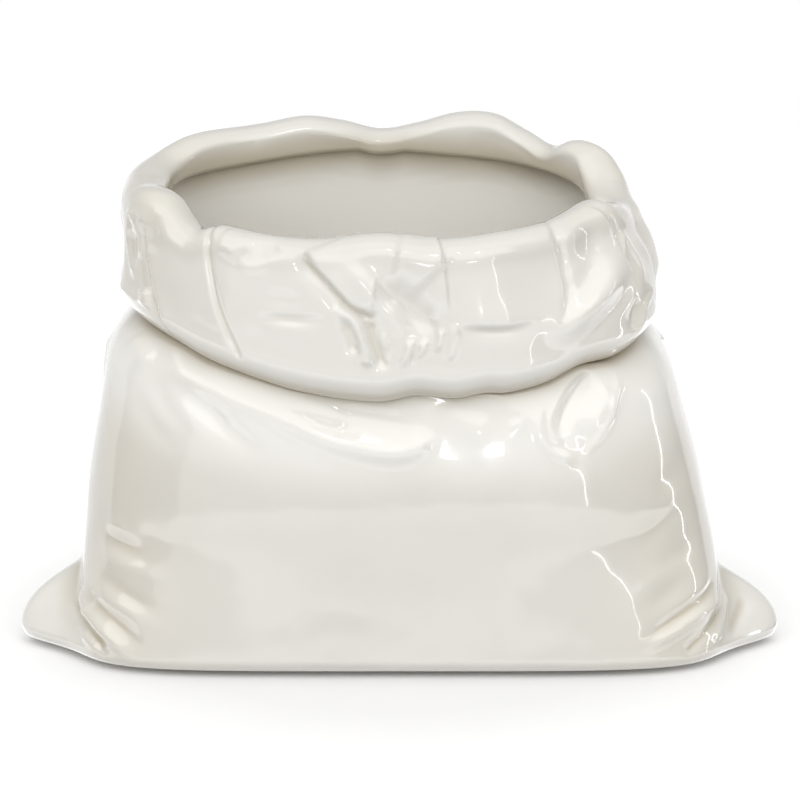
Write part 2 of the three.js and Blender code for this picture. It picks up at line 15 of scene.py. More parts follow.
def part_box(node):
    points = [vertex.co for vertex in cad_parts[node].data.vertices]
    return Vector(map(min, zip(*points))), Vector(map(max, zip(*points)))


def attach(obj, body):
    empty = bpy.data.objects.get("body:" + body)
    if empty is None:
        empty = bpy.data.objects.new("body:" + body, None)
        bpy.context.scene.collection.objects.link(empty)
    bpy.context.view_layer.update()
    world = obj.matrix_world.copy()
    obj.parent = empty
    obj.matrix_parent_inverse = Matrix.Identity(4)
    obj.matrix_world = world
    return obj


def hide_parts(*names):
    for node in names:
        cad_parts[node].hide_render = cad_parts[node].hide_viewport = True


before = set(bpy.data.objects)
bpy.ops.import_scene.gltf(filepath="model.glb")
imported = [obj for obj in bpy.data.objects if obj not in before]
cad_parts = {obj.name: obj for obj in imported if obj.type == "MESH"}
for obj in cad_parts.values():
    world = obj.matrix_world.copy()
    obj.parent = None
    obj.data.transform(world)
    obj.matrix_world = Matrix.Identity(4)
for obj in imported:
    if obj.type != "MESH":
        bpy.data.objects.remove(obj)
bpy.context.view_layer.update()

LOG = logging.getLogger("paper_bag_vase")
METRES = 0.001
FRONT = -math.pi / 2
TURN_STEPS = 1440
FINE, BROAD = 2, 7
Path = Sequence[tuple[float, float]]
Span = tuple[float, float]
Colour = tuple[float, float, float]
Socket = bpy.types.NodeSocket


class Base(Enum):
    """The level that the heights of a list of folds are counted from, in millimetres above the foot."""

    HEM = 138.0
    FOOT = 0.0


@dataclass(frozen=True)
class Fold:
    """A crease, roll or step along a path, in millimetres.

    A path's points are lengths round from the middle of the front and heights above a base. The lift is
    given for the left of the path as it is walked, and for the right of it where that differs.
    """

    path: Path
    left: float
    width: float
    right: float | None = None
    right_width: float | None = None
    lap: float = 0.6
    ends: float = 0.25


FRONT_COLLAR: list[Fold] = [
    # the upright crease and its lips
    Fold([(-84, 70), (-83, 55.5), (-81.5, 50.5), (-81, 43), (-78.5, 29.5), (-74.5, 17), (-68.5, 4.5),
          (-66, 0)], -1.6, 1.3, ends=0.15),
    Fold([(-78, 54), (-70.5, 51.5), (-61.5, 50)], 0.9, 5.5),
    # the small vee to its right
    Fold([(-79.5, 52), (-73, 47.5), (-67, 43), (-63, 41), (-57.5, 42), (-52, 45), (-48.5, 48.5)], 0.6, 2.6),
    Fold([(-70.5, 48), (-63, 46.5), (-55, 48), (-50, 50.5)], -1.3, 4.5),
    # the long slanting step, the swelling above it and the ridge that runs down from it
    Fold([(-41, 49), (-38, 44.5), (-30, 36), (-20.8, 25.8), (-13.5, 22.5), (-9, 22)], 2.6, 10, -2.4, 5, 1.8),
    Fold([(-32, 38.5), (-26, 31.5), (-20.8, 25.8), (-13.5, 22.5), (-10, 22)], -0.9, 2.2, ends=0.35),
    Fold([(-26, 47), (-18, 38.8), (-9, 28.6), (-2.6, 21), (3.7, 11.7)], 1.6, 4.5, ends=0.3),
    # the level creases at its foot
    Fold([(-62, 19.5), (-50, 19.3), (-42, 19), (-27, 19)], -1.1, 2.4, ends=0.4),
    Fold([(-60, 28.5), (-48, 27.5), (-36, 27)], -0.7, 4, ends=0.45),
    # the thin blade, with a hollow and a deep crease beside it
    Fold([(-29, 24.4), (-20.8, 21), (-16.3, 13.5), (-13.6, 4), (-14.5, -1)], 2.4, 2.4, ends=0.2),
    Fold([(-24.4, 20.1), (-20.5, 12), (-18, 4)], -1.5, 3, ends=0.3),
    Fold([(-13, 20), (-12, 13), (-10.2, 7), (-5.3, -2.4)], -2.4, 2.4, ends=0.2),
    # the deep pocket under the middle swelling
    Fold([(-11.7, 35.1), (-0.8, 28.6), (10.1, 20.1), (17.3, 19.2)], -2.6, 5.5, ends=0.3),
    Fold([(-4, 47), (6.4, 43.6), (15, 36)], 2.2, 13),
    # the upright lap and its tongue
    Fold([(15, 62), (16, 54), (17.8, 46.4), (19.6, 32.4), (20.9, 20.1)], -0.6, 5, 0.6, 5, 0.8),
    Fold([(22.5, 19), (22.8, 13.5), (21.5, 6), (19.6, 1)], 1.0, 1.8, ends=0.3),
    # the fan of fine rolls at the hem
    Fold([(-8.5, 15), (-6.5, 10.5), (-4.5, 6)], 0.9, 1.7, ends=0.35),
    Fold([(5, 12.5), (3.5, 6), (-0.8, -2.4)], 1.5, 2.1, ends=0.35),
    Fold([(12, 12), (9, 7), (6, 2.5)], 1.2, 1.7, ends=0.35),
    Fold([(8.5, 9.5), (6, 5), (3, 0)], -0.7, 1.6, ends=0.35),
    Fold([(18, 16.5), (16.5, 11), (14.5, 5)], 1.2, 1.7, ends=0.35),
    # the level step to the right
    Fold([(22, 16.5), (31.5, 16), (39.5, 15.5), (48.5, 16), (62, 19)], 1.3, 11, -1.5, 4.8, 2.0, 0.35),
    Fold([(25, 16.3), (31.5, 16), (39.5, 15.5), (48.5, 16), (58, 18)], -0.5, 2.2, ends=0.4),
    # the second upright crease
    Fold([(70, 70), (69.5, 57), (69, 51), (71, 43.5), (72, 36), (72.5, 28.5), (70.5, 21), (66.5, 13)],
         -1.4, 2.2, ends=0.2),
    Fold([(75.5, 56), (76.5, 48.5), (75, 39)], 0.9, 4, ends=0.4),
    Fold([(86.5, 57.5), (88, 47.5), (86.5, 37.5)], -1.4, 5.5, ends=0.35),
    # the fat slanting roll at the right corner
    Fold([(110, 46), (100, 37.5), (93, 31.5), (86, 26), (79, 21), (70, 13), (61, 6)], 3.4, 7, ends=0.35),
    Fold([(94, 46), (86, 37.5), (80, 31), (73, 23), (65, 15.5)], -1.6, 5, ends=0.4),
    Fold([(112, 36), (102, 27), (92, 19), (82, 11.5), (72, 4)], -1.2, 4, ends=0.4),
    # the swelling of the right end
    Fold([(126, 34), (141, 38), (155, 40), (172, 38)], 2.2, 9),
    # the laps at the right end
    Fold([(92.5, 63.5), (98, 59), (103.5, 49.5), (106.5, 40.5), (108.5, 33.5), (108, 25), (106, 18.5),
          (102.5, 13)], -1.4, 4.5, 0.8, 8, 0.8),
    Fold([(108.5, 34.5), (109.5, 42), (111.5, 46.5), (116, 41.5), (118.5, 34), (116, 26)], 1.2, 2),
    Fold([(116.5, 25), (122.5, 22), (116, 16.5), (113.5, 11), (108.5, 5.5)], 1.3, 2.2),
    Fold([(111.5, 21.5), (107, 14), (105, 7)], -1.2, 3),
    # the hollow and the folds of the left end
    Fold([(-192, 33), (-174, 34), (-160, 35), (-146, 37), (-132, 38)], -3.4, 13),
    Fold([(-122, 26), (-126.5, 36.5), (-129.5, 46.5), (-128.5, 56), (-124.5, 54), (-122, 46)], 1.2, 2.2),
    Fold([(-125.5, 50), (-125.5, 42), (-123, 33)], -1.2, 3.4, ends=0.35),
    Fold([(-111, 62), (-110.5, 51), (-112, 42)], -1.2, 4.5),
    Fold([(-118.5, 60), (-118, 49.5), (-118.5, 36.5)], 0.9, 2.6),
    Fold([(-116, 55), (-114, 45), (-112, 37), (-109.5, 27), (-105.5, 18), (-101, 6)],
         1.3, 6, -1.9, 3.4, 0.7, 0.15),
    Fold([(-115, 46), (-112.5, 36), (-110, 26), (-106, 16), (-103, 9)], -1.0, 1.6, ends=0.2),
    Fold([(-114.5, 27), (-114, 22), (-115, 17.5)], 2.4, 4.2, ends=0.3),
]

BACK_COLLAR: list[Fold] = [
    Fold([(144, 58), (140, 42), (142, 24), (138, 10)], -2.0, 5),
    Fold([(160, 56), (154, 38), (158, 18)], 1.8, 6),
    Fold([(-146, 52), (-142, 34), (-136, 14)], 0.9, 6),
    Fold([(-170, 6), (-166, 24), (-160, 42), (-164, 62)], -2.0, 5, 1.4, 7, 1.5),
    Fold([(178, 57), (184, 48), (196, 34), (204, 12)], -2.2, 5, 2, 8, 1.5),
    Fold([(232, 66), (222, 48), (226, 30), (214, 8)], 2.4, 8, -2, 4, 1.5),
    Fold([(244, 26), (262, 20), (282, 24), (296, 18)], 1.8, 8, -2.2, 4, 1.5),
    Fold([(262, 74), (266, 58), (262, 40), (256, 24)], -2, 4, 1.6, 7, 1.2),
    Fold([(300, 50), (288, 38), (272, 32), (258, 12)], 3, 8),
    Fold([(312, 40), (300, 28), (290, 10)], -2.4, 6),
    Fold([(-300, 8), (-292, 26), (-288, 46), (-292, 72)], -2.2, 4, 2, 8, 1.2),
    Fold([(-276, 44), (-262, 34), (-250, 20), (-236, 16)], 2.4, 8, -2.2, 4, 1.5),
    Fold([(-240, 58), (-236, 40), (-240, 26)], -2, 5),
    Fold([(-206, 66), (-210, 46), (-222, 28), (-226, 8)], 2.6, 8, -2, 4, 1.5),
    Fold([(-190, 56), (-194, 36), (-190, 16)], -2.2, 6),
]

SWAG_FOLDS: list[Fold] = [
    Fold([(-139.5, 4), (-129, -1.5), (-118.5, -6)], 1.4, 5),
    Fold([(-124, -8), (-111.5, -15.5), (-103.5, -22), (-90, -30)], -1.1, 5, ends=0.45),
    Fold([(-124, -19), (-114.5, -27), (-103.5, -35.5), (-89, -44)], -1.0, 5, ends=0.45),
    Fold([(-112, -13), (-102, -20.5), (-89, -29), (-73, -41)], 1.1, 5, ends=0.45),
    Fold([(-116, -22), (-104, -31), (-89, -39)], 0.5, 5, ends=0.45),
    Fold([(-96, -14.5), (-82.5, -23.5), (-69.5, -34.5), (-57, -44)], -1.1, 5, ends=0.45),
    Fold([(-86, -18), (-67.5, -28.5), (-47, -40)], 1.0, 5, ends=0.4),
    Fold([(-118.5, -3.5), (-102.5, -8.5), (-86, -14), (-67.5, -20), (-43.5, -28.5), (-23.5, -35.5), (-4, -39),
          (8, -36), (13, -28.5)], 2.5, 5, ends=0.15),
    Fold([(-58, -17.5), (-42.5, -22), (-21, -28)], 1.5, 2.6, ends=0.35),
    Fold([(-34, -21), (-19.5, -23.5), (-4.5, -26), (8, -29)], -1.8, 4.5, ends=0.3),
    Fold([(-47, -23.5), (-31, -29), (-16, -32)], -1.5, 2.6, ends=0.35),
    Fold([(17, -21.5), (31.5, -28), (43, -30.5)], 0.9, 6, ends=0.35),
    Fold([(53.5, -19.5), (57.5, -22.5), (56, -27), (47, -33)], 0.7, 3, ends=0.3),
    # the drop-shaped hollow with a leaf beside it
    Fold([(101.5, -7.5), (90.5, -13.5), (81, -20), (74, -27), (71.5, -34)], -3.2, 2.8, ends=0.2),
    Fold([(92, -9.5), (81, -16), (70, -25.5), (68.5, -33), (72.5, -37.5)], 0.6, 1.6),
    Fold([(107, -9.5), (98.5, -17), (91, -26.5), (83, -37)], 1.6, 6.5, ends=0.3),
    Fold([(112, -8), (107.5, -13.5), (101, -19.5), (95.5, -27.5), (87.5, -36), (80, -42)], 0.8, 1.6),
    Fold([(72.5, -16), (67, -21), (62.5, -30.5), (65.5, -38.5), (71.5, -43), (78, -43.5)], 0.9, 2.6),
    Fold([(133.5, -69.5), (111.5, -74.5), (93, -84.5)], -0.8, 6, ends=0.4),
    Fold([(132.5, -85), (112.5, -91.5), (96.5, -102.5)], -0.8, 6, ends=0.4),
    Fold([(134, -52), (120, -57), (104, -66)], -0.6, 6, ends=0.4),
    # round the back
    Fold([(184, -8), (200, -16), (228, -27), (262, -32)], 2.2, 8, -1.6, 5, 1.5),
    Fold([(300, -24), (282, -20), (262, -14), (240, -6)], 2.4, 7, -2, 4, 1.5),
    Fold([(-214, -40), (-226, -18), (-244, -4)], -1.8, 6, 1.6, 8, 1.5),
    Fold([(-176, 0), (-184, -18), (-200, -34)], 1.8, 7, -1.6, 5, 1.5),
]

CORNER_FOLDS: list[Fold] = [
    # left corner
    Fold([(-148, 27), (-138, 24), (-127.5, 20.5), (-117, 16), (-108.5, 11), (-101, 5)], 2.0, 3, ends=0.2),
    Fold([(-150, 22), (-138, 18), (-127, 15), (-118, 10.5), (-111, 5)], -1.8, 2.2, ends=0.25),
    Fold([(-142, 31), (-128, 27.5), (-116, 23), (-105, 17), (-95, 8)], -1.2, 3, ends=0.35),
    Fold([(-132, 12), (-123, 9.5), (-115, 6)], 1.2, 2.2, ends=0.3),
    Fold([(-138, 14), (-129, 22), (-122, 30)], 0.9, 2, ends=0.35),
    Fold([(-138, 49), (-120, 46), (-102.5, 42.5), (-86, 38)], 0.9, 4, ends=0.45),
    Fold([(-137, 41), (-118, 36), (-102.5, 30.5), (-86, 23)], -1.0, 4, ends=0.45),
    Fold([(-136, 55), (-118, 52.5), (-100, 48)], -0.9, 4, ends=0.45),
    Fold([(-134, 34), (-115, 29), (-101.5, 23.5), (-89, 17)], 0.6, 3.4, ends=0.45),
    Fold([(-134, 62), (-122, 60), (-108, 56)], 0.5, 4, ends=0.45),
    # right corner
    Fold([(141, 36), (127, 30), (112.5, 26), (101, 21), (88, 13)], -1.6, 3, ends=0.3),
    Fold([(138, 27), (124, 24), (110, 20.5), (99, 16), (88, 10)], 1.7, 2.6, ends=0.25),
    Fold([(137, 20), (122, 16), (110, 10.5), (103, 5.5)], -1.6, 2.4, ends=0.25),
    Fold([(150, 25), (139, 19), (128, 13), (118, 7)], 1.2, 2.4, ends=0.25),
    Fold([(154, 20), (143, 14), (130, 7)], -1.0, 2.6, ends=0.3),
    Fold([(90, 34), (104, 41.5), (124, 47)], 0.7, 4.5, ends=0.4),
    Fold([(88, 24), (102, 33), (122, 40)], -0.6, 4.5, ends=0.4),
    # back corners
    Fold([(196, 32), (214, 24), (236, 12)], -2.4, 6),
    Fold([(200, 20), (222, 12), (240, 6)], 2.4, 6),
    Fold([(204, 46), (226, 38), (250, 34)], 1.6, 7),
    Fold([(-200, 30), (-216, 22), (-238, 12)], -2.4, 6),
    Fold([(-204, 18), (-222, 14), (-246, 8)], 2.4, 6),
    Fold([(-206, 44), (-228, 38), (-246, 28)], 1.6, 7),
]


def mix(low: np.ndarray | float, high: np.ndarray | float, share: np.ndarray | float) -> np.ndarray:
    """Returns the value a share of the way from low to high."""
    return low + (high - low) * share


def ease(value: np.ndarray | float, start: float = 0.0, end: float = 1.0) -> np.ndarray:
    """Returns 0 before start, 1 after end, and a smooth step between them."""
    share = np.clip((value - start) / (end - start), 0.0, 1.0)
    return share * share * (3 - 2 * share)


def raised(flat: np.ndarray, height: np.ndarray | float) -> np.ndarray:
    """Returns points of x and y with a height as their z."""
    return np.concatenate([flat, np.broadcast_to(height, flat.shape[:-1])[..., None]], axis=-1)


def turns(count: int, end: float = 90.0) -> np.ndarray:
    """Returns even turns from 0 to some degrees, in radians."""
    return np.radians(np.linspace(0, end, count))


@dataclass(frozen=True)
class Wave:
    """A smooth closed wave round the vase, through points of degrees and millimetres."""

    points: Path

    def at(self, angle: np.ndarray) -> np.ndarray:
        """Reads the wave.

        Args:
            angle: Angles round the vase, in radians.

        Returns:
            The wave's height at each angle, in millimetres.
        """
        degrees, rises = (np.array(column, float) for column in zip(*self.points))
        knots = np.concatenate([degrees[-2:] - 360, degrees, degrees[:3] + 360])
        values = np.concatenate([rises[-2:], rises, rises[:3]])
        turned = np.mod(np.degrees(angle) - degrees[0], 360) + degrees[0]
        i = np.clip(np.searchsorted(knots, turned, side="right") - 1, 1, len(knots) - 3)
        gap = knots[i + 1] - knots[i]
        share = (turned - knots[i]) / gap
        low = (values[i + 1] - values[i - 1]) / (knots[i + 1] - knots[i - 1]) * gap
        high = (values[i + 2] - values[i]) / (knots[i + 2] - knots[i]) * gap
        step = share * share * (3 - 2 * share)
        return mix(values[i], values[i + 1], step) + share * (1 - share) * ((1 - share) * low - share * high)


@dataclass(frozen=True)
class HalfSizes:
    """Half sizes of an outline to the left, right, front and back, in millimetres."""

    left: np.ndarray | float
    right: np.ndarray | float
    front: np.ndarray | float
    back: np.ndarray | float

    def outline(self, angle: np.ndarray, squareness: np.ndarray | float) -> np.ndarray:
        """Draws the outline.

        Args:
            angle: Angles round the vase, in radians.
            squareness: 2 for an ellipse, and more for squarer corners.

        Returns:
            Points of x and y along the last axis.
        """
        across, deep = np.cos(angle), np.sin(angle)
        size = (np.abs(across) ** squareness + np.abs(deep) ** squareness) ** (-1 / squareness)
        x = np.where(across > 0, self.right, self.left) * across * size
        y = np.where(deep > 0, self.back, self.front) * deep * size
        return np.stack([x, y], axis=-1)


def outward(ring: np.ndarray) -> np.ndarray:
    """Returns the unit vectors that point out of closed rings of points, whose last point isn't repeated."""
    along = np.roll(ring, -1, axis=-2) - np.roll(ring, 1, axis=-2)
    normal = np.stack([along[..., 1], -along[..., 0]], axis=-1)
    return normal / np.linalg.norm(normal, axis=-1, keepdims=True)


@dataclass
class BagForm:
    """The form that the body and the collar share, in millimetres above the underside of the foot."""

    low: HalfSizes = HalfSizes(140.4, 141.5, 66.0, 67.0)
    high: HalfSizes = HalfSizes(125.5, 114.7, 62.0, 65.0)
    bulge: HalfSizes = HalfSizes(1.4, 1.4, 5.0, 5.0)
    taper_start: float = 31.0
    taper_end: float = 135.0
    taper_blend: float = 24.0
    foot_squareness: float = 5.0
    belly_squareness: float = 3.0
    neck_squareness: float = 2.6
    square_foot_height: float = 60.0
    foot_edge: float = 6.0
    ear_span: float = 335.0
    ear_nose: float = 6.0
    ear_top_left: float = 32.5
    ear_top_right: float = 30.0
    ear_forward: float = 12.0
    ear_breadth: float = 21.5
    ear_narrowing: float = 0.55
    ear_fillet: float = 0.12
    neck: HalfSizes = HalfSizes(109.5, 99.5, 62.5, 62.5)
    wall: float = 6.0
    shoulder: float = 20.0
    hem_height: float = 138.0
    rim_height: float = 202.0
    collar_stand: float = 10.5
    collar_stand_right: float = 2.0
    collar_bulge: float = 1.0
    collar_lean_start: float = 0.45
    collar_skin: float = 5.0
    hem_roll: float = 14.0
    hem_swell: float = 0.9
    hem_swell_height: float = 9.0
    hem_swell_reach: float = 5.0
    crown_depth: float = 9.5
    crown_drop: float = 5.5
    crown_skin: float = 6.0
    lip_thickness: float = 4.0
    lip_thickness_right: float = 12.0
    clearance: float = 0.3
    right_end_start: float = 0.3
    right_end_full: float = 0.8
    hem_wave: Wave = Wave([
        (-165, 10), (-151, 7), (-140, 2.6), (-132, -2.8), (-124, -7.5), (-111, -14.5), (-95, -18.3),
        (-86, -15.6), (-77, -17), (-70, -15), (-65, -15.2), (-56, -12), (-47, -6), (-36, -5), (-21, -1.2),
        (0, 1.5), (30, 6), (60, 10), (90, 13), (120, 11), (150, 9),
    ])
    rim_wave: Wave = Wave([
        (-148, 1), (-136, -11), (-129, -8.5), (-117, -12), (-108, -12.5), (-94, -9.5), (-80, -12.5),
        (-66, -10), (-53, -8), (-35, -2), (-24, -5), (-8, -7), (12, -3), (22, 3.5), (29, 8.5), (36, 10.5),
        (42, 10), (50, 6.5), (58, 12), (66, 18), (76, 18), (86, 13.5), (95, 11), (103, 14.5), (111, 17),
        (122, 14), (140, 11.5), (155, 6), (172, 4), (195, 2),
    ])
    lip_wave: Wave = Wave([
        (-160, -12), (-130, -24), (-90, -27), (-45, -22), (-20, -19), (0, -15), (35, -7), (57, -2.5), (75, 0),
        (100, 2.5), (131, -3), (168, -7),
    ])

    def hem(self, angle: np.ndarray) -> np.ndarray:
        """Returns the height of the collar's hem."""
        return self.hem_height + self.hem_wave.at(angle)

    def rim(self, angle: np.ndarray) -> np.ndarray:
        """Returns the height of the rim's crown."""
        return self.rim_height + self.rim_wave.at(angle)

    def neck_top(self, angle: np.ndarray) -> np.ndarray:
        """Returns the height of the neck's top edge under the crown."""
        return self.rim(angle) - self.crown_skin - self.clearance

    def lip_edge(self, angle: np.ndarray) -> np.ndarray:
        """Returns the height of the lip's free edge inside the mouth."""
        highest = self.neck_top(angle) - self.lip_thickness
        return np.minimum(self.rim_height + self.lip_wave.at(angle), highest)

    def neck_outline(self, angle: np.ndarray) -> np.ndarray:
        """Returns the outline of the neck."""
        return self.neck.outline(angle, self.neck_squareness)

    def right_end(self, angle: np.ndarray) -> np.ndarray:
        """Returns how far each angle lies into the right end, from 0 to 1."""
        return ease(np.cos(angle), self.right_end_start, self.right_end_full)

    def lip_reach(self, angle: np.ndarray) -> np.ndarray:
        """Returns how far the lip's inner face stands in from the neck's outer face."""
        thickness = mix(self.lip_thickness, self.lip_thickness_right, self.right_end(angle))
        return self.wall + self.clearance + thickness

    def rounded_over(self, angle: np.ndarray, z: np.ndarray) -> np.ndarray:
        """Returns how far the belly has rounded over into the neck, from 0 to 1."""
        climb = np.clip(1 + (z - self.hem(angle)) / self.shoulder, 0, 1)
        return 1 - np.sqrt(1 - climb * climb)

    def bag_outline(self, angle: np.ndarray, z: np.ndarray) -> np.ndarray:
        """Draws the belly without its ears.

        Args:
            angle: Angles round the vase, in radians.
            z: Heights, of the same shape.

        Returns:
            Points of x and y along the last axis.
        """
        rise = z - self.taper_start
        climb = (rise + np.hypot(rise, self.taper_blend)) / 2 / (self.taper_end - self.taper_start)
        swell = np.sin(np.pi * np.clip(climb, 0, 1)) ** 2
        sides = zip(astuple(self.low), astuple(self.high), astuple(self.bulge))
        half = HalfSizes(*(mix(low, high, climb) + bulge * swell for low, high, bulge in sides))
        squareness = mix(self.foot_squareness, self.belly_squareness, ease(z, 0, self.square_foot_height))
        belly = half.outline(angle, squareness)
        return mix(belly, self.neck_outline(angle), self.rounded_over(angle, z)[..., None])

    def eared_outline(self, angle: np.ndarray, z: np.ndarray) -> np.ndarray:
        """Draws the belly with the two pinched ears, from and to what bag_outline takes and returns."""
        point = self.bag_outline(angle, z)
        across = np.cos(angle)
        top = np.where(across > 0, self.ear_top_right, self.ear_top_left)
        climb = np.clip((z - self.ear_nose) / (top - self.ear_nose), 0, 2)
        spread = 1 - climb * climb
        reach = (spread + np.hypot(spread, self.ear_fillet)) / 2
        length = self.ear_span / 2 - np.where(across > 0, self.low.right, self.low.left)
        breadth = self.ear_breadth * mix(1, 1 - self.ear_narrowing, np.clip(climb, 0, 1))
        middle = -self.ear_forward * np.clip(1 - climb, 0, 1)
        taper = np.exp(-(((point[..., 1] - middle) / breadth) ** 2)) * across * across
        point[..., 0] += np.sign(across) * length * reach * taper
        return point

    def collar_stand_at(self, angle: np.ndarray, z: np.ndarray) -> np.ndarray:
        """Returns how far the collar's outer face stands off the neck."""
        hem = self.hem(angle) + self.clearance
        shoulder = self.rim(angle) - self.crown_depth
        climb = np.clip((z - hem) / (shoulder - hem), 0, 1)
        top = mix(self.collar_stand, self.collar_stand_right, self.right_end(angle))
        lean = mix(self.collar_stand, top, ease(climb, self.collar_lean_start, 1))
        face = lean + self.collar_bulge * np.sin(np.pi * climb)
        roll = np.clip(1 - (z - hem) / self.hem_roll, 0, 1)
        swell = self.hem_swell * np.exp(-(((z - hem - self.hem_swell_height) / self.hem_swell_reach) ** 2))
        return self.clearance + (face + swell - self.clearance) * np.sqrt(1 - roll * roll)

    def collar_lengths(self, angle: np.ndarray) -> tuple[np.ndarray, np.ndarray]:
        """Returns the lengths of the collar's face and of its crown, along the section."""
        shoulder = self.rim(angle) - self.crown_depth
        half = (self.collar_stand_at(angle, shoulder) + self.lip_reach(angle)) / 2
        arc = np.pi / 2 * (half + (self.crown_depth + self.crown_drop) / 2)
        return shoulder - self.hem(angle) - self.clearance, arc

    def collar_skin_at(self, angle: np.ndarray, climb: np.ndarray) -> tuple[np.ndarray, ...]:
        """Follows the collar's skin up from its hem, over the crown and down inside the mouth.

        Args:
            angle: Angles round the vase, in radians.
            climb: Lengths up from the hem, of the same shape.

        Returns:
            The stand off the neck, the height, and the two parts of the section's normal.
        """
        start = np.maximum(climb, 0)
        rim = self.rim(angle)
        shoulder = rim - self.crown_depth
        face, arc = self.collar_lengths(angle)
        stand = self.collar_stand_at(angle, shoulder)
        half = (stand + self.lip_reach(angle)) / 2
        over = start > face
        turn = np.clip((start - face) / arc, 0, 1) * np.pi
        fall = np.where(turn < np.pi / 2, self.crown_depth, self.crown_drop)
        down = np.maximum(start - face - arc, 0)
        z = np.where(over, rim - fall * (1 - np.sin(turn)) - down, shoulder - face + start)
        out = np.where(over, stand - half + half * np.cos(turn), self.collar_stand_at(angle, z))
        return out, z, np.where(over, np.cos(turn), 1.0), np.where(over, np.sin(turn), 0.0)


@dataclass
class Girth:
    """Lengths round an outline, from the middle of the front."""

    draw: Callable[[np.ndarray], np.ndarray]
    steps: int = TURN_STEPS
    back_share: float = 0.42
    back_start: float = 0.2
    back_full: float = 0.8

    def measured(self) -> tuple[np.ndarray, np.ndarray]:
        """Returns close angles round the outline, and the lengths of the steps between them."""
        angles = FRONT + np.linspace(0, 2 * np.pi, self.steps + 1)
        return angles, np.linalg.norm(np.diff(self.draw(angles), axis=0), axis=1)

    def angle_at(self, along: np.ndarray | float) -> np.ndarray:
        """Returns the angles that lie some millimetres round from the middle of the front."""
        angles, steps = self.measured()
        places = np.append(0, np.cumsum(steps))
        return np.interp(np.mod(along, places[-1]), places, angles)

    def spread_angles(self, count: int) -> np.ndarray:
        """Returns angles spread round the outline, further apart at the back by one over back_share."""
        angles, steps = self.measured()
        behind = ease(np.sin((angles[1:] + angles[:-1]) / 2), self.back_start, self.back_full)
        places = np.append(0, np.cumsum(steps * mix(1, self.back_share, behind)))
        return np.interp(np.arange(count) / count * places[-1], places, angles)


@dataclass
class LaidFold:
    """A fold laid on its surface as a smooth line in space."""

    fold: Fold
    line: np.ndarray
    reach: float = 2.4

    @classmethod
    def lay(cls, fold: Fold, place: Callable[[np.ndarray, np.ndarray], np.ndarray],
            steps: int = 36) -> "LaidFold":
        """Lays a fold.

        Args:
            fold: The fold.
            place: Gives points in space for lengths round and up.
            steps: How many straight pieces stand for the line.

        Returns:
            The fold with its line.
        """
        knots = np.array(fold.path, float)
        ends = np.concatenate([[2 * knots[0] - knots[1]], knots, [2 * knots[-1] - knots[-2]]])
        where = np.linspace(0, len(knots) - 1, steps + 1)
        i = np.minimum(where.astype(int), len(knots) - 2)
        s = (where - i)[:, None]
        a, b, c, d = (ends[i + k] for k in range(4))
        smooth = b + 0.5 * s * (c - a + s * (2 * a - 5 * b + 4 * c - d + s * (3 * (b - c) + d - a)))
        return cls(fold, place(smooth[:, 0], smooth[:, 1]))

    def height(self, points: np.ndarray, normals: np.ndarray) -> np.ndarray:
        """Works out how far the fold lifts a surface.

        Args:
            points: Points of the surface, in rows.
            normals: Their outward normals.

        Returns:
            The lift of each point, in millimetres.
        """
        fold = self.fold
        right = fold.left if fold.right is None else fold.right
        right_width = fold.right_width or fold.width
        lift = np.zeros(len(points))
        margin = self.reach * max(fold.width, right_width)
        near = np.all((points > self.line.min(0) - margin) & (points < self.line.max(0) + margin), axis=1)
        if not near.any():
            return lift
        close, facing = points[near], normals[near]
        starts, steps = self.line[:-1], np.diff(self.line, axis=0)
        offset = close[:, None] - starts
        share = np.clip((offset * steps).sum(-1) / (steps * steps).sum(-1), 0, 1)
        across = offset - share[..., None] * steps
        distance = np.linalg.norm(across, axis=-1)
        best = distance.argmin(axis=1)
        rows = np.arange(len(close))
        gap = distance[rows, best]
        way = steps[best] / np.linalg.norm(steps[best], axis=1, keepdims=True)
        side = -(np.cross(way, across[rows, best]) * facing).sum(-1)
        along = (best + share[rows, best]) / len(steps)
        step = ease(side, -fold.lap, fold.lap)
        fade = ease(along, 0, fold.ends) * ease(1 - along, 0, fold.ends)
        on_left = fold.left * np.exp(-((gap / fold.width) ** 2))
        on_right = right * np.exp(-((gap / right_width) ** 2))
        lift[near] = mix(on_left, on_right, step) * fade
        return lift


def total_height(folds: Sequence[LaidFold], points: np.ndarray, normals: np.ndarray) -> np.ndarray:
    """Returns the lift of all the folds on a grid of points, in millimetres."""
    flat, facing = points.reshape(-1, 3), normals.reshape(-1, 3)
    lift = np.zeros(len(flat))
    for fold in folds:
        lift += fold.height(flat, facing)
    return lift.reshape(points.shape[:-1])


@dataclass(frozen=True)
class Unevenness:
    """The slight waviness of a hand-finished casting: the width and height of its waves, and a pattern."""

    size: float
    height: float
    seed: float

    def lift(self, points: np.ndarray) -> np.ndarray:
        """Returns the lift of each point of a grid, in millimetres."""
        shift = Vector((self.seed, -self.seed, 0.5 * self.seed))
        flat = points.reshape(-1, 3) / self.size
        values = [noise.noise(Vector(spot) + shift) for spot in flat.tolist()]
        return self.height * np.array(values).reshape(points.shape[:-1])


def hollowness(grid: np.ndarray, normals: np.ndarray, reach: int) -> np.ndarray:
    """Returns how deep each point of a grid lies under its neighbours, in millimetres."""
    around = np.zeros_like(grid)
    rows = len(grid)
    for step in (-reach, reach):
        around += np.roll(grid, step, axis=1)
        around += grid[np.clip(np.arange(rows) + step, 0, rows - 1)]
    return ((around / 4 - grid) * normals).sum(-1)


def grid_normals(grid: np.ndarray) -> np.ndarray:
    """Returns the unit normals of a grid of points that closes on itself round the vase."""
    along = np.roll(grid, -1, axis=1) - np.roll(grid, 1, axis=1)
    up = np.gradient(grid, axis=0)
    normal = np.cross(along, up)
    return normal / np.maximum(np.linalg.norm(normal, axis=-1, keepdims=True), 1e-9)


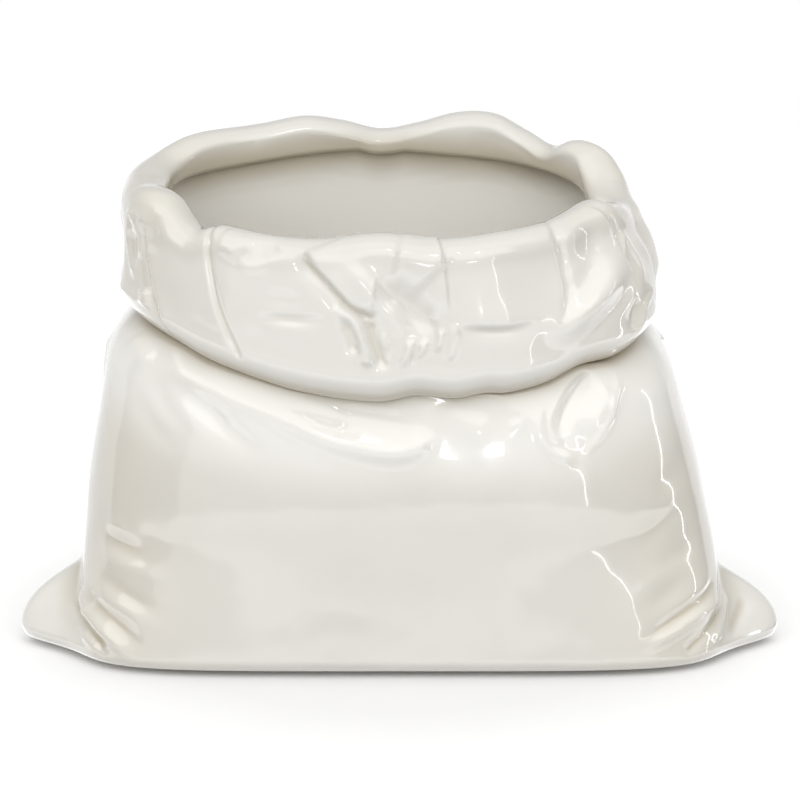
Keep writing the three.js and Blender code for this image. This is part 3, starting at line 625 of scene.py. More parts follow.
def skin_mesh(name: str, grid: np.ndarray, tints: dict[str, np.ndarray], closes: bool) -> bpy.types.Object:
    """Turns a grid of points into a closed skin.

    Args:
        name: Name of the piece.
        grid: Rows of rings of points, in millimetres above the underside of the foot.
        tints: Values for each point, by attribute name.
        closes: Whether the last row joins the first one.

    Returns:
        The piece, smooth shaded, at the origin.
    """
    rows, columns = grid.shape[:2]
    sheet = bmesh.new()
    bmesh.ops.create_grid(sheet, x_segments=columns, y_segments=rows if closes else rows - 1, size=1.0)
    spots = np.array([vert.co[:2] for vert in sheet.verts])
    steps = np.array([columns, rows if closes else rows - 1])
    turn, row = (np.rint((spots + 1) / 2 * steps).astype(int) % [columns, rows]).T
    places = (grid * METRES)[row, turn] + np.array([0, 0, FOOT_HEIGHT])
    layers = {key: sheet.verts.layers.float.new(key) for key in tints}
    for vert, place in zip(sheet.verts, places.tolist()):
        vert.co = place
    for key, layer in layers.items():
        for vert, value in zip(sheet.verts, tints[key][row, turn].tolist()):
            vert[layer] = value
    bmesh.ops.remove_doubles(sheet, verts=sheet.verts, dist=1e-6)
    bmesh.ops.recalc_face_normals(sheet, faces=sheet.faces)
    for face in sheet.faces:
        face.smooth = True
    return finished(name, sheet)


def finished(name: str, shape: bmesh.types.BMesh) -> bpy.types.Object:
    """Returns a shape as a named object at the origin, and frees the shape."""
    mesh = bpy.data.meshes.new(name)
    shape.to_mesh(mesh)
    shape.free()
    piece = bpy.data.objects.new(name, mesh)
    bpy.context.scene.collection.objects.link(piece)
    return piece


FOOT_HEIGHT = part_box("bag_body")[0].z


@dataclass
class BagBody:
    """The cast body: foot, ears, belly and shoulder outside, the neck, and the hollow inside."""

    form: BagForm
    columns: int = 620
    foot_ring: float = 34.0
    foot_recess: float = 1.5
    floor: float = 8.0
    cove: float = 14.0
    edge_rings: int = 9
    belly_rings: int = 100
    shoulder_rings: int = 22
    neck_rings: int = 18
    inner_rings: int = 8
    cove_rings: int = 5
    drawn_in: Span = (0.35, 0.7)
    waves: Unevenness = Unevenness(27.0, 0.5, 3.0)
    ripples: Unevenness = Unevenness(10.0, 0.09, 5.0)
    inner_waves: Unevenness = Unevenness(46.0, 0.9, 7.0)
    # painted shade under the collar's hem, partly real dark glaze filling the joint
    joint_reach: float = 2.6
    joint_rise: float = 1.0
    # painted light: a pale shoulder under the hem, and a paler inside below the lip
    shoulder_painted_light: float = 0.95
    painted_light_start: float = -46.0
    painted_light_end: float = -20.0
    inner_painted_light_reach: float = 20.0
    # painted shade: a dark line under the lip's edge, and a slightly darker inside, more so towards its ends
    lip_shade: float = 14.0
    lip_painted_shade: float = 0.8
    inner_painted_shade: float = 0.02
    inner_end_painted_shade: float = 0.04
    inner_half: float = 85.0
    bare_start: float = 0.6
    bare_end: float = 1.6

    def folds(self) -> list[LaidFold]:
        """Returns the swags and the creases of the corners, laid on the belly."""
        form = self.form
        middle = (form.taper_start + form.taper_end) / 2
        girth = Girth(lambda angle: form.bag_outline(angle, np.full_like(angle, middle)))

        def laid(fold: Fold, base: Base) -> LaidFold:
            """Lays a fold whose heights are counted from a base."""
            def put(along: np.ndarray, up: np.ndarray) -> np.ndarray:
                """Returns the points in space."""
                z = base.value + up
                return raised(form.eared_outline(girth.angle_at(along), z), z)
            return LaidFold.lay(fold, put)

        swags = [laid(fold, Base.HEM) for fold in SWAG_FOLDS]
        return swags + [laid(fold, Base.FOOT) for fold in CORNER_FOLDS]

    def rows(self, angles: np.ndarray) -> tuple[np.ndarray, np.ndarray, np.ndarray]:
        """Lists the rings of the skin from the middle of the underside to the middle of the floor.

        Args:
            angles: The angles of a ring's points.

        Returns:
            The heights and insets of the rings, and 1 for each ring that has ears.
        """
        form = self.form
        hem, top = form.hem(angles), form.neck_top(angles)
        foot = hem - form.shoulder
        rings = []

        def ring(z: np.ndarray | float, inset: float, ears: bool) -> None:
            """Adds one ring."""
            rings.append([value + 0 * angles for value in (z, inset, float(ears))])

        for _ in range(3):
            ring(self.foot_recess, self.foot_ring + self.foot_recess, False)
        ring(0.0, self.foot_ring, False)
        ring(0.0, (self.foot_ring + form.foot_edge) / 2, True)
        for turn in turns(self.edge_rings):
            ring(form.foot_edge * (1 - np.cos(turn)), form.foot_edge * (1 - np.sin(turn)), True)
        for share in np.linspace(0, 1, self.belly_rings)[1:]:
            ring(mix(form.foot_edge, foot, share), 0.0, True)
        for turn in turns(self.shoulder_rings)[1:]:
            ring(foot + form.shoulder * np.sin(turn), 0.0, True)
        for share in (0.3, 0.65, 1.0):
            ring(mix(hem, top, share), 0.0, True)
        ring(top, form.wall, False)
        for share in np.linspace(0, 1, self.neck_rings)[1:]:
            ring(mix(top, foot, share), form.wall, False)
        for share in np.linspace(0, 1, self.inner_rings)[1:]:
            ring(mix(foot, self.floor + self.cove, share), form.wall, False)
        for turn in turns(self.cove_rings)[1:]:
            inset = form.wall + self.cove * (1 - np.cos(turn))
            ring(self.floor + self.cove * (1 - np.sin(turn)), inset, False)
        for _ in range(2):
            ring(self.floor, form.wall + self.cove, False)
        heights, insets, eared = np.array(rings).transpose(1, 0, 2)
        return heights, insets, eared

    def build(self) -> bpy.types.Object:
        """Models the body.

        Returns:
            The piece, with its pooled glaze, painted shade, painted light and bare biscuit as attributes.
        """
        form = self.form
        angles = Girth(form.neck_outline).spread_angles(self.columns)
        z, inset, eared = self.rows(angles)
        around = np.broadcast_to(angles, z.shape)
        flat = np.where(eared[..., None] > 0, form.eared_outline(around, z), form.bag_outline(around, z))
        facing = outward(flat)
        normals = raised(facing, 0.0)
        grid = raised(flat - inset[..., None] * facing, z)
        face = (inset < form.foot_edge) * eared
        fade = (1 - form.rounded_over(around, z)) * ease(z, 0, form.foot_edge) * face
        lift = total_height(self.folds(), grid, normals) + self.waves.lift(grid) + self.ripples.lift(grid)
        inside = (inset >= form.wall) & (z > self.floor + 1)
        lift = lift * fade + inside * self.inner_waves.lift(grid)
        grid += normals * lift[..., None]
        for edge, *inner in ((2, 1, 0), (-3, -2, -1)):
            for row, share in zip(inner, self.drawn_in):
                grid[row] = mix(grid[edge], grid[edge].mean(0), share)
        under, over = (np.broadcast_to(grid[row].mean(0), grid[0].shape) for row in (0, -1))
        grid = np.concatenate([[under], grid, [over]])
        return skin_mesh("bag_body_glazed", grid, self.tints(grid, angles), False)

    def tints(self, grid: np.ndarray, angles: np.ndarray) -> dict[str, np.ndarray]:
        """Works out the pooled glaze and painted shade, the painted light, and where the biscuit is bare.

        Args:
            grid: The skin's points, in millimetres.
            angles: The angle of each column.

        Returns:
            The values of each point by attribute name.
        """
        normals = grid_normals(grid)
        z = grid[..., 2]
        over_hem, lip = z - self.form.hem(angles), self.form.lip_edge(angles)
        outside = np.arange(len(grid))[:, None] <= np.argmax(grid[:, 0, 2])
        # painted shade under the hem, partly real dark glaze filling the joint
        joint_glaze_and_shade = np.exp(-np.abs(over_hem - self.joint_rise) / self.joint_reach) * outside
        # painted shade under the lip's edge and inside the neck, darker towards the ends
        under_lip = self.lip_painted_shade * ease(z, lip - self.lip_shade, lip + 1)
        inner = self.inner_painted_shade + self.inner_end_painted_shade * ease(np.abs(grid[..., 0] / self.inner_half))
        # painted light on the shoulder under the hem and inside below the lip
        shoulder = self.shoulder_painted_light * ease(over_hem, self.painted_light_start, self.painted_light_end)
        return {
            "hollow": hollowness(grid, normals, FINE),
            "dip": hollowness(grid, normals, BROAD) * outside,
            "pooled_glaze_and_shade": np.maximum(joint_glaze_and_shade, np.maximum(under_lip, inner) * ~outside),
            "pale": np.where(outside, shoulder, ease(lip - z, 0, self.inner_painted_light_reach)),
            "bare": 1 - ease(z, self.bare_start, self.bare_end),
        }


@dataclass
class RolledCollar:
    """The turned-down collar: hem, creased face, fat crown and inner lip."""

    form: BagForm
    columns: int = 760
    hem_solid: float = 7.0
    hem_turn: float = 84.0
    lip_round: float = 2.0
    lip_fade: float = 6.0
    hem_rings: int = 22
    face_rings: int = 62
    crown_rings: int = 28
    lip_rings: int = 9
    hidden_shares: tuple[float, ...] = (0.95, 0.7, 0.35, 0.0)
    waves: Unevenness = Unevenness(26.0, 0.5, 11.0)
    ripples: Unevenness = Unevenness(11.0, 0.16, 17.0)
    # painted light: the collar's face is made paler, its crown not
    pale: float = 0.45
    crown_edge: Span = (-6.0, 4.0)
    # painted shade along the hem's underside, partly real dark glaze filling the joint
    joint_glaze_and_shade_level: float = 0.75
    joint_rise: float = 0.5
    joint_reach: float = 4.6
    # painted shade on the collar's ends, on the lip towards its lower edge, under the lip's edge and on the
    # crown
    end_painted_shade: float = 0.16
    end_start: float = 88.0
    end_full: float = 112.0
    lip_painted_shade: float = 0.7
    lip_shade: float = 13.0
    lip_edge_painted_shade: float = 0.8
    lip_edge_rings: int = 6
    crown_painted_shade: float = 0.06

    def folds(self) -> list[LaidFold]:
        """Returns the folds of the collar, laid on its outer face."""
        form = self.form
        dense = FRONT + np.linspace(0, 2 * np.pi, TURN_STEPS + 1)

        def stood_off(angle: np.ndarray, out: np.ndarray | float) -> np.ndarray:
            """Returns the neck's outline moved out."""
            facing = outward(form.neck_outline(dense[:-1]))
            closed = np.concatenate([facing, facing[:1]])
            turned = np.mod(angle - FRONT, 2 * np.pi)
            way = np.stack([np.interp(turned, dense - FRONT, part) for part in closed.T], axis=-1)
            return form.neck_outline(angle) + way * np.reshape(out, (-1, 1))

        girth = Girth(lambda angle: stood_off(angle, form.collar_stand))

        def put(along: np.ndarray, up: np.ndarray) -> np.ndarray:
            """Returns points in space for lengths round and up."""
            angle = girth.angle_at(along)
            climb = Base.HEM.value + up - form.hem(angle) - form.clearance
            out, z, _, _ = form.collar_skin_at(angle, climb)
            return raised(stood_off(angle, out), z)

        return [LaidFold.lay(fold, put) for fold in FRONT_COLLAR + BACK_COLLAR]

    def lip_length(self, angles: np.ndarray) -> np.ndarray:
        """Returns how far the lip runs straight down inside the mouth."""
        form = self.form
        return form.rim(angles) - form.crown_drop - form.lip_edge(angles) - self.lip_round

    def climbs(self, angles: np.ndarray) -> np.ndarray:
        """Returns the lengths up the section at which the seen skin has its rings."""
        form = self.form
        face, arc = form.collar_lengths(angles)
        roll = turns(self.hem_rings, self.hem_turn)
        rings = [form.hem_roll * (1 - np.cos(turn)) + 0 * angles for turn in roll]
        rings += [mix(form.hem_roll, face, share) for share in np.linspace(0, 1, self.face_rings)]
        rings += [face + arc * share for share in np.linspace(0, 1, self.crown_rings)[1:]]
        down = self.lip_length(angles)
        rings += [face + arc + down * share for share in np.linspace(0, 1, self.lip_rings)[1:]]
        return np.array(rings)

    def hidden_rings(self, angles: np.ndarray) -> np.ndarray:
        """Returns the rings that close the skin round the lip's edge, over the neck and down inside."""
        form = self.form
        neck = form.neck_outline(angles)
        facing = outward(neck)

        def ring(out: np.ndarray, level: np.ndarray) -> np.ndarray:
            """Returns the neck's outline moved out, at a height."""
            return raised(neck + facing * out[:, None], level)

        back, rings = -form.wall - form.clearance, []
        for turn in turns(self.lip_rings, 180.0)[1:]:
            reach = mix(back, -form.lip_reach(angles), (1 + np.cos(turn)) / 2)
            rings.append(ring(reach, form.lip_edge(angles) + self.lip_round * (1 - np.sin(turn))))
        top = form.neck_top(angles) + form.clearance
        rings += [ring(out + 0 * angles, top) for out in (back, form.clearance)]
        low = form.hem(angles) + form.clearance + self.hem_solid
        for share in self.hidden_shares:
            level = mix(low, form.rim(angles) - form.crown_depth, share)
            stand = form.collar_stand_at(angles, level)
            dent = np.minimum(total_height(self.folds(), ring(stand, level), raised(facing, 0.0)), 0)
            rings.append(ring(np.maximum(stand + dent - form.collar_skin, form.clearance), level))
        return np.array(rings)

    def build(self) -> bpy.types.Object:
        """Models the collar.

        Returns:
            The piece, with its pooled glaze, painted shade and painted light as attributes.
        """
        form = self.form
        angles = Girth(form.neck_outline).spread_angles(self.columns)
        neck = form.neck_outline(angles)
        facing = outward(neck)
        climb = self.climbs(angles)
        out, z, normal_out, normal_up = form.collar_skin_at(np.broadcast_to(angles, climb.shape), climb)
        normals = raised(facing * normal_out[..., None], normal_up)
        skin = raised(neck + facing * out[..., None], z)
        uneven = (self.waves.lift(skin) + self.ripples.lift(skin)) * ease(climb, 1, form.hem_roll)
        face, arc = form.collar_lengths(angles)
        lift = total_height(self.folds(), skin, normals) + uneven
        skin += normals * (lift * (1 - ease(climb - face - arc, 0, self.lip_fade)))[..., None]
        grid = np.concatenate([skin, self.hidden_rings(angles)])
        return skin_mesh("rolled_collar_glazed", grid, self.tints(grid, angles, climb), True)

    def tints(self, grid: np.ndarray, angles: np.ndarray, climb: np.ndarray) -> dict[str, np.ndarray]:
        """Works out the collar's pooled glaze and painted shade, and its painted light.

        Args:
            grid: The points, with the rings of the seen skin first, in millimetres.
            angles: The angle of each column.
            climb: The lengths up the section of the seen skin's points.

        Returns:
            The values of each point by attribute name.
        """
        rings = len(climb)
        seen = (np.arange(len(grid)) < rings)[:, None]
        normals = grid_normals(grid)
        face, arc = self.form.collar_lengths(angles)
        lip_length = self.lip_length(angles)
        crown = ease(climb - face, *self.crown_edge)
        # painted shade along the hem's underside, partly real dark glaze filling the joint
        joint_glaze_and_shade = self.joint_glaze_and_shade_level * np.exp(-((climb - self.joint_rise) / self.joint_reach) ** 2)
        # painted shade: the lip darkens towards its lower edge, and the ends, the crown and the lip's edge
        # darken too
        lip = self.lip_painted_shade * ease(climb - face - arc, lip_length - self.lip_shade, lip_length + 1)
        ends = ease(np.abs(grid[:rings, :, 0]), self.end_start, self.end_full) * (climb < face)
        pooled_glaze_and_shade, pale = np.zeros(grid.shape[:-1]), np.zeros(grid.shape[:-1])
        pooled_glaze_and_shade[:rings] = np.max([joint_glaze_and_shade, lip, self.end_painted_shade * ends, self.crown_painted_shade * crown], axis=0)
        pooled_glaze_and_shade[rings:rings + self.lip_edge_rings] = self.lip_edge_painted_shade
        # painted light on the collar's face, not on the crown
        pale[:rings] = self.pale * (1 - crown)
        return {
            "hollow": hollowness(grid, normals, FINE) * seen,
            "dip": hollowness(grid, normals, BROAD) * seen,
            "pooled_glaze_and_shade": pooled_glaze_and_shade,
            "pale": pale,
            "bare": np.zeros(grid.shape[:-1]),
        }


@dataclass
class FootPad:
    """A felt disc under the foot."""

    node: str
    rings: int = 9
    sides: int = 72
    rounding: float = 0.35
    fuzz: float = 0.04
    fuzz_grain: float = 900.0
    sole: float = 0.01

    def build(self) -> bpy.types.Object:
        """Models the pad in the place of its node.

        Returns:
            The piece.
        """
        low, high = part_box(self.node)
        middle = (low + high) / 2
        radius = (high.x - low.x) / 2
        height = high.z - low.z
        disc = bmesh.new()
        bmesh.ops.create_cone(disc, cap_ends=True, cap_tris=False, segments=self.sides, radius1=radius,
                              radius2=radius, depth=height)
        rims = [edge for edge in disc.edges if abs(edge.verts[0].co.z - edge.verts[1].co.z) < 1e-9]
        bmesh.ops.bevel(disc, geom=rims, offset=self.rounding * METRES, segments=3, profile=0.5,
                        affect="EDGES", material=-1)
        caps = [face for face in disc.faces if len(face.verts) > 4]
        for _ in range(self.rings):
            bmesh.ops.inset_region(disc, faces=caps, thickness=radius / (self.rings + 2))
        for vert in disc.verts:
            fuzz = noise.noise(vert.co * self.fuzz_grain) * self.fuzz * METRES
            if vert.co.z / height + 0.5 > self.sole:
                vert.co.x *= 1 + fuzz / radius
                vert.co.y *= 1 + fuzz / radius
            vert.co += middle
        bmesh.ops.recalc_face_normals(disc, faces=disc.faces)
        for face in disc.faces:
            face.smooth = True
        return finished(self.node + "_felt", disc)


@dataclass(frozen=True)
class Wiring:
    """Adds shader nodes to a tree, and feeds each input with an output or with a plain value."""

    tree: bpy.types.NodeTree

    def feed(self, node: bpy.types.Node, feeds: dict[str | int, Socket | float | Sequence[float]]) -> None:
        """Feeds a node's inputs, which are given by name or number."""
        for key, value in feeds.items():
            if isinstance(value, Socket):
                self.tree.links.new(value, node.inputs[key])
            else:
                node.inputs[key].default_value = value

    def node(self, kind: str, feeds: dict[str | int, Socket | float | Sequence[float]] | None = None,
             **settings: object) -> bpy.types.Node:
        """Adds a node.

        Args:
            kind: The end of the node type's name.
            feeds: What its inputs are fed with.
            settings: Values of its own properties.

        Returns:
            The node.
        """
        node = self.tree.nodes.new(f"ShaderNode{kind}")
        for key, value in settings.items():
            setattr(node, key, value)
        self.feed(node, feeds or {})
        return node

    def ranged(self, value: Socket, low: float, high: float, to_low: float = 0.0,
               to_high: float = 1.0) -> Socket:
        """Returns a value stretched from one range to another, and kept inside it."""
        feeds = {"Value": value, "From Min": low, "From Max": high, "To Min": to_low, "To Max": to_high}
        return self.node("MapRange", feeds).outputs["Result"]

    def calc(self, operation: str, *values: Socket | float) -> Socket:
        """Returns the result of one sum on outputs and numbers."""
        return self.node("Math", dict(enumerate(values)), operation=operation).outputs["Value"]

    def blend(self, share: Socket, first: Socket | float, second: Socket | float) -> Socket:
        """Returns a number a share of the way from the first to the second."""
        return self.node("Mix", {"Factor": share, "A": first, "B": second}).outputs["Result"]

    def tint(self, share: Socket, first: Socket | Colour, second: Colour, way: str = "MIX") -> Socket:
        """Returns a colour blended with a plain one."""
        start = first if isinstance(first, Socket) else (*first, 1)
        feeds = {"Factor": share, "A": start, "B": (*second, 1)}
        return self.node("Mix", feeds, data_type="RGBA", blend_type=way).outputs["Result"]

    def ramp(self, share: Socket, low: Colour, high: Colour, middle: Colour | None = None) -> Socket:
        """Returns a colour from an even ramp."""
        node = self.node("ValToRGB", {"Fac": share})
        stops = node.color_ramp.elements
        stops[0].color, stops[1].color = (*low, 1), (*high, 1)
        if middle is not None:
            stops.new(0.5).color = (*middle, 1)
        return node.outputs["Color"]

    def mottle(self, scale: float) -> Socket:
        """Returns soft random patches, from 0 to 1."""
        return self.node("Group", {"Scale": scale}, node_tree=mottle_group()).outputs["Mottle"]


def node_group(name: str, inputs: dict[str, float], output: str,
               wire: Callable[[Wiring, bpy.types.NodeOutputs], Socket]) -> bpy.types.NodeTree:
    """Makes a shader node group once.

    Args:
        name: Name of the group.
        inputs: The number inputs and their values.
        output: The name of its number output.
        wire: Adds the nodes behind the group's inputs, and returns what the output gives.

    Returns:
        The group.
    """
    if name in bpy.data.node_groups:
        return bpy.data.node_groups[name]
    tree = bpy.data.node_groups.new(name, "ShaderNodeTree")
    for key, value in inputs.items():
        socket = tree.interface.new_socket(name=key, in_out="INPUT", socket_type="NodeSocketFloat")
        socket.default_value = value
    tree.interface.new_socket(name=output, in_out="OUTPUT", socket_type="NodeSocketFloat")
    result = wire(Wiring(tree), tree.nodes.new("NodeGroupInput").outputs)
    tree.links.new(result, tree.nodes.new("NodeGroupOutput").inputs[output])
    return tree


def mottle_group() -> bpy.types.NodeTree:
    """Returns the group that gives soft random patches of a size in Object coordinates, from 0 to 1."""
    def wire(add: Wiring, given: bpy.types.NodeOutputs) -> Socket:
        """Wires the group."""
        place = add.node("TexCoord").outputs["Object"]
        feeds = {"Vector": place, "Scale": given["Scale"], "Detail": 3.0, "Roughness": 0.5}
        return add.ranged(add.node("TexNoise", feeds).outputs["Fac"], 0.3, 0.7)

    return node_group("mottle", {"Scale": 20.0}, "Mottle", wire)


def crease_pooling_and_shade_group() -> bpy.types.NodeTree:
    """Returns the group that turns the depth of hollows into pooled glaze and painted crease shade, from -1
    to 1.
    """
    def wire(add: Wiring, given: bpy.types.NodeOutputs) -> Socket:
        """Wires the group."""
        fine = add.calc("MULTIPLY", given["Hollow"], given["Fine Weight"])
        broad = add.calc("MULTIPLY", given["Dip"], given["Broad Weight"])
        return add.ranged(add.calc("ADD", fine, broad), -0.3, 1, -0.3, 1)

    values = {"Hollow": 0.0, "Dip": 0.0, "Fine Weight": 1.2, "Broad Weight": 0.22}
    return node_group("crease_pooling_and_shade", values, "Thickness", wire)


def new_material(name: str) -> tuple[bpy.types.Material, Wiring, bpy.types.Node]:
    """Returns a new material, the wiring of its tree and its shader."""
    material = bpy.data.materials.new(name)
    material.use_nodes = True
    return material, Wiring(material.node_tree), material.node_tree.nodes["Principled BSDF"]


@dataclass(frozen=True)
class IvoryGlaze:
    """Thick glossy ivory glaze over a pale biscuit body, bare under the foot.

    Its hollows are darker, partly from pooled glaze and partly from painted crease shade. The joint colour
    also paints shade, the pale colour paints light, the flanks get painted shade and the ears painted light.
    The flanks and the ears are given in metres from the middle of the vase.
    """

    name: str = "ivory_glaze_dressed"
    even: Colour = (0.80, 0.778, 0.72)
    # painted shade: the flanks are tinted warmer and a little darker
    flank_painted_shade: Colour = (1.0, 0.977, 0.938)
    thin: Colour = (0.84, 0.825, 0.775)
    # colour of hollows: partly glaze pooled there, partly painted crease shade
    pooled_and_shaded: Colour = (0.64, 0.59, 0.48)
    # dark colour of the joint, also used for all painted shade
    joint_glaze_and_shade: Colour = (0.44, 0.375, 0.25)
    # colour of painted light
    pale: Colour = (0.96, 0.94, 0.885)
    biscuit: Colour = (0.74, 0.69, 0.60)
    gloss: float = 0.14
    coat_gloss: float = 0.015
    biscuit_gloss: float = 0.85
    mottle_scale: float = 28.0
    mottle_depth: float = 0.015
    flank_rise: Span = (0.06, 0.12)
    flank_fall: Span = (0.132, 0.15)
    # painted light: the ears are made lighter
    ear_rise: Span = (0.135, 0.15)
    ear_painted_light: float = 0.09

    def make(self) -> bpy.types.Material:
        """Returns the material."""
        material, add, shader = new_material(self.name)
        hollow, dip, pooled_glaze_and_shade, pale, bare = (add.node("Attribute", attribute_name=name).outputs["Fac"]
                                         for name in ("hollow", "dip", "pooled_glaze_and_shade", "pale", "bare"))
        crease_pooling_and_shade = add.node("Group", {"Hollow": hollow, "Dip": dip}, node_tree=crease_pooling_and_shade_group())
        thickness = add.ranged(crease_pooling_and_shade.outputs["Thickness"], -1, 1)
        # darker, warmer tone in hollows, partly pooled glaze and partly painted crease shade; lighter on
        # ridges where the glaze runs thin
        tone = add.ramp(thickness, self.thin, self.pooled_and_shaded, self.even)
        place = add.node("TexCoord").outputs["Object"]
        aside = add.calc("ABSOLUTE", add.node("SeparateXYZ", {"Vector": place}).outputs["X"])
        # painted shade: the flanks are tinted warmer and a little darker
        fall = add.ranged(aside, *self.flank_fall, 1, 0)
        flank = add.calc("MULTIPLY", add.ranged(aside, *self.flank_rise), fall)
        mottle = add.ranged(add.mottle(self.mottle_scale), 0, 1, 1 - self.mottle_depth, 1 + self.mottle_depth)
        # painted light: the ears get a higher value on top of the random mottle
        shaded = add.node("HueSaturation", {
            "Color": add.tint(flank, tone, self.flank_painted_shade, "MULTIPLY"),
            "Value": add.calc("ADD", mottle, add.ranged(aside, *self.ear_rise, 0, self.ear_painted_light)),
        }).outputs["Color"]
        # the pale colour paints light, then the joint colour paints shade and the dark joint
        with_pooled_glaze_and_shade = add.tint(pooled_glaze_and_shade, add.tint(pale, shaded, self.pale), self.joint_glaze_and_shade)
        add.feed(shader, {
            "Base Color": add.tint(bare, with_pooled_glaze_and_shade, self.biscuit),
            "Roughness": add.ranged(bare, 0, 1, self.gloss, self.biscuit_gloss),
            "Coat Weight": add.ranged(bare, 0, 1, 1, 0),
            "Coat Roughness": self.coat_gloss,
        })
        return material


@dataclass(frozen=True)
class WoolFelt:
    """Short pressed wool felt."""

    name: str = "wool_felt_dressed"
    pale: Colour = (0.72, 0.68, 0.60)
    deep: Colour = (0.50, 0.46, 0.39)
    grain: float = 1800.0
    nap: float = 0.0004
    nap_strength: float = 0.7
    roughness: float = 0.95
    sheen: float = 0.4

    def make(self) -> bpy.types.Material:
        """Returns the material."""
        material, add, shader = new_material(self.name)
        mottle = add.mottle(self.grain)
        bump = add.node("Bump", {"Height": mottle, "Distance": self.nap, "Strength": self.nap_strength})
        add.feed(shader, {
            "Base Color": add.ramp(mottle, self.deep, self.pale),
            "Normal": bump.outputs["Normal"],
            "Roughness": self.roughness,
            "Sheen Weight": self.sheen,
        })
        return material


@dataclass
class Studio:
    """The white table, the white room with its dim sides, the lamps and the camera.

    Turns are degrees round from the camera, and the rise of a direction is the sine of its angle up.
    """

    pitch: float = 14.5
    distance: float = 1.8
    target: Vector = field(default_factory=lambda: Vector((0.0, 0.0, 0.1)))
    rise: float = 0.0061
    lens: float = 185.57
    sensor: float = 36.0
    near_clip: float = 0.05
    floor_size: float = 2.4
    # painted shadow: the floor glows less near the vase than further off
    painted_shadow_glow: float = 0.04
    far_glow: float = 0.3
    painted_shadow_reach: Span = (0.11, 0.24)
    floor_white: float = 0.95
    floor_bounce: float = 0.5
    floor_roughness: float = 0.6
    floor_shine: float = 0.1
    screen: float = 1.0
    softbox: float = 1.85
    dim: float = 0.34
    backdrop: float = 0.98
    backdrop_fall: Span = (0.0, 0.3)
    backdrop_top: float = 0.3
    ceiling: float = 1.34
    rear_ceiling: float = 0.75
    ceiling_turn: Span = (60.0, 120.0)
    ceiling_edge: Span = (0.6, 0.85)
    table: float = 1.85
    near_table: float = 1.3
    table_reach: Span = (-0.7, -0.3)
    table_edge: Span = (-0.30, -0.26)
    screen_turn: float = -6.0
    screen_edge: float = 34.0
    screen_blur: float = 1.5
    softbox_edge: float = 48.0
    softbox_blur: float = 4.0
    softbox_foot: Span = (0.30, 0.34)
    softbox_top: Span = (0.76, 0.80)
    back_left: float = 97.0
    back_right: float = 128.0
    lamp_distance: float = 1.5

    def camera(self) -> None:
        """Puts the camera at the photograph's viewing angle."""
        tilt = math.radians(self.pitch)
        eye = bpy.data.cameras.new("camera")
        eye.lens = self.lens
        eye.sensor_width = self.sensor
        eye.clip_start = self.near_clip
        seat = bpy.data.objects.new("camera", eye)
        away = Vector((0.0, -math.cos(tilt), math.sin(tilt)))
        up = Vector((0.0, math.sin(tilt), math.cos(tilt)))
        place = self.target + away * self.distance + up * self.rise
        seat.matrix_world = Matrix.Translation(place) @ Matrix.Rotation(math.radians(90) - tilt, 4, "X")
        bpy.context.scene.collection.objects.link(seat)
        bpy.context.scene.camera = seat

    def floor(self) -> bpy.types.Object:
        """Lays the white table top, which mirrors nothing into the glaze: the world stands in for it there.

        Returns:
            The floor.
        """
        sheet = bmesh.new()
        bmesh.ops.create_grid(sheet, x_segments=1, y_segments=1, size=self.floor_size / 2)
        piece = finished("floor", sheet)
        piece.visible_glossy = False
        material, add, shader = new_material("white_table")
        seen = add.node("LightPath").outputs["Is Camera Ray"]
        place = add.node("TexCoord").outputs["Object"]
        away = add.node("VectorMath", {0: place}, operation="LENGTH").outputs["Value"]
        # painted shadow: the floor glows less near the vase than further off
        level = add.ranged(away, *self.painted_shadow_reach, self.painted_shadow_glow, self.far_glow)
        add.feed(shader, {
            "Base Color": add.tint(seen, (self.floor_bounce,) * 3, (self.floor_white,) * 3),
            "Roughness": self.floor_roughness,
            "Specular IOR Level": self.floor_shine,
            "Emission Color": (1, 1, 1, 1),
            "Emission Strength": add.calc("MULTIPLY", seen, level),
        })
        piece.data.materials.append(material)
        return piece

    def room_group(self) -> bpy.types.NodeTree:
        """Returns the group that gives the room's brightness for a direction's turn and rise."""
        def wire(add: Wiring, given: bpy.types.NodeOutputs) -> Socket:
            """Wires the group."""
            turn, rise = given["Turn"], given["Rise"]
            wide = add.calc("ABSOLUTE", turn)
            off = add.calc("ABSOLUTE", add.calc("SUBTRACT", turn, self.screen_turn))
            screen_end = self.screen_edge + self.screen_blur
            lit = add.ranged(off, self.screen_edge, screen_end, self.screen, self.dim)
            behind = add.calc("SUBTRACT", wide, add.ranged(turn, -1, 1, self.back_left, self.back_right))
            fall = add.ranged(rise, *self.backdrop_fall, 1, self.backdrop_top)
            back = add.calc("MULTIPLY", add.ranged(behind, -1, 1), fall)
            walls = add.calc("MULTIPLY_ADD", back, self.backdrop - self.dim, lit)
            table = add.ranged(rise, *self.table_reach, self.near_table, self.table)
            above_table = add.blend(add.ranged(rise, *self.table_edge), table, walls)
            above = add.ranged(wide, *self.ceiling_turn, self.ceiling, self.rear_ceiling)
            room = add.blend(add.ranged(rise, *self.ceiling_edge), above_table, above)
            inside = add.ranged(off, self.softbox_edge, self.softbox_edge + self.softbox_blur, 1, 0)
            bottom, top = add.ranged(rise, *self.softbox_foot), add.ranged(rise, *self.softbox_top, 1, 0)
            box = add.calc("MULTIPLY", inside, add.calc("MULTIPLY", bottom, top))
            return add.blend(box, room, self.softbox)

        return node_group("room", {"Turn": 0.0, "Rise": 0.0}, "Level", wire)

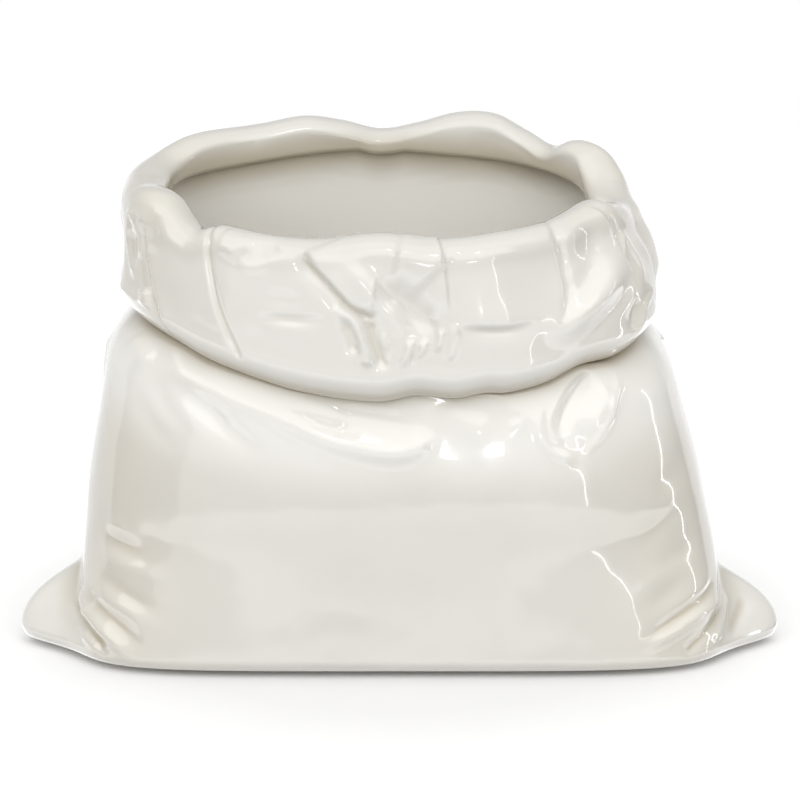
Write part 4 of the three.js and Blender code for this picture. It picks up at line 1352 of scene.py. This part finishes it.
    def world(self) -> None:
        """Surrounds the set with the room's light, pure white where the camera sees it."""
        world = bpy.data.worlds.new("studio")
        bpy.context.scene.world = world
        world.use_nodes = True
        world.node_tree.nodes.clear()
        add = Wiring(world.node_tree)
        parts = add.node("SeparateXYZ", {"Vector": add.node("TexCoord").outputs["Generated"]}).outputs
        turn = add.calc("ARCTAN2", parts["X"], add.calc("MULTIPLY", parts["Y"], -1))
        feeds = {"Turn": add.calc("DEGREES", turn), "Rise": parts["Z"]}
        level = add.node("Group", feeds, node_tree=self.room_group()).outputs["Level"]
        seen = add.node("LightPath").outputs["Is Camera Ray"]
        soft, plain = (add.node("Background", {"Color": (1, 1, 1, 1), "Strength": strength})
                       for strength in (level, 1.0))
        feeds = {"Fac": seen, 1: soft.outputs["Background"], 2: plain.outputs["Background"]}
        add.node("OutputWorld", {"Surface": add.node("MixShader", feeds).outputs["Shader"]})

    def lamp(self, name: str, turn: float, rise: float, size: Span, power: float) -> None:
        """Hangs a rectangular light that looks at the vase.

        Args:
            name: Name of the light.
            turn: Degrees round from the camera, positive to the right.
            rise: Degrees up.
            size: Its width and height, in metres.
            power: Its power, in watts.
        """
        light = bpy.data.lights.new(name, "AREA")
        light.shape = "RECTANGLE"
        light.size, light.size_y = size
        light.energy = power
        seat = bpy.data.objects.new(name, light)
        level, lift = math.cos(math.radians(rise)), math.sin(math.radians(rise))
        way = Vector((math.sin(math.radians(turn)) * level, -math.cos(math.radians(turn)) * level, lift))
        seat.location = self.target + way * self.lamp_distance
        seat.rotation_euler = (-way).to_track_quat("-Z", "Y").to_euler()
        bpy.context.scene.collection.objects.link(seat)

    def lamps(self) -> None:
        """Hangs the small key lights and the thin strips that draw lines down the glaze."""
        self.lamp("key", 8, 50, (0.12, 0.08), 0.45)
        self.lamp("low_key", 7, 5, (0.13, 0.09), 0.38)
        self.lamp("right_strip", 86, 2, (0.028, 1.2), 1.3)
        self.lamp("front_strip", 29, -2, (0.02, 0.7), 0.3)


def dress(piece: bpy.types.Object, material: bpy.types.Material, node: str) -> None:
    """Gives a piece its finish and its place in the frame, and reports it."""
    piece.data.materials.clear()
    piece.data.materials.append(material)
    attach(piece, "root")
    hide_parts(node)
    LOG.info("%s: %d faces", piece.name, len(piece.data.polygons))


def main() -> None:
    """Builds the vase and its studio."""
    logging.basicConfig(level=logging.INFO, format="%(message)s")
    bpy.context.scene.view_settings.view_transform = "Standard"
    studio = Studio()
    studio.camera()
    form = BagForm()
    glaze, felt = IvoryGlaze().make(), WoolFelt().make()
    dress(BagBody(form).build(), glaze, "bag_body")
    dress(RolledCollar(form).build(), glaze, "rolled_collar")
    for row in ("front", "back"):
        for end in ("left", "right"):
            node = f"foot_pad_{row}_{end}"
            pad = FootPad(node).build()
            dress(pad, felt, node)
    studio.floor()
    studio.world()
    studio.lamps()


if __name__ == "__main__":
    main()
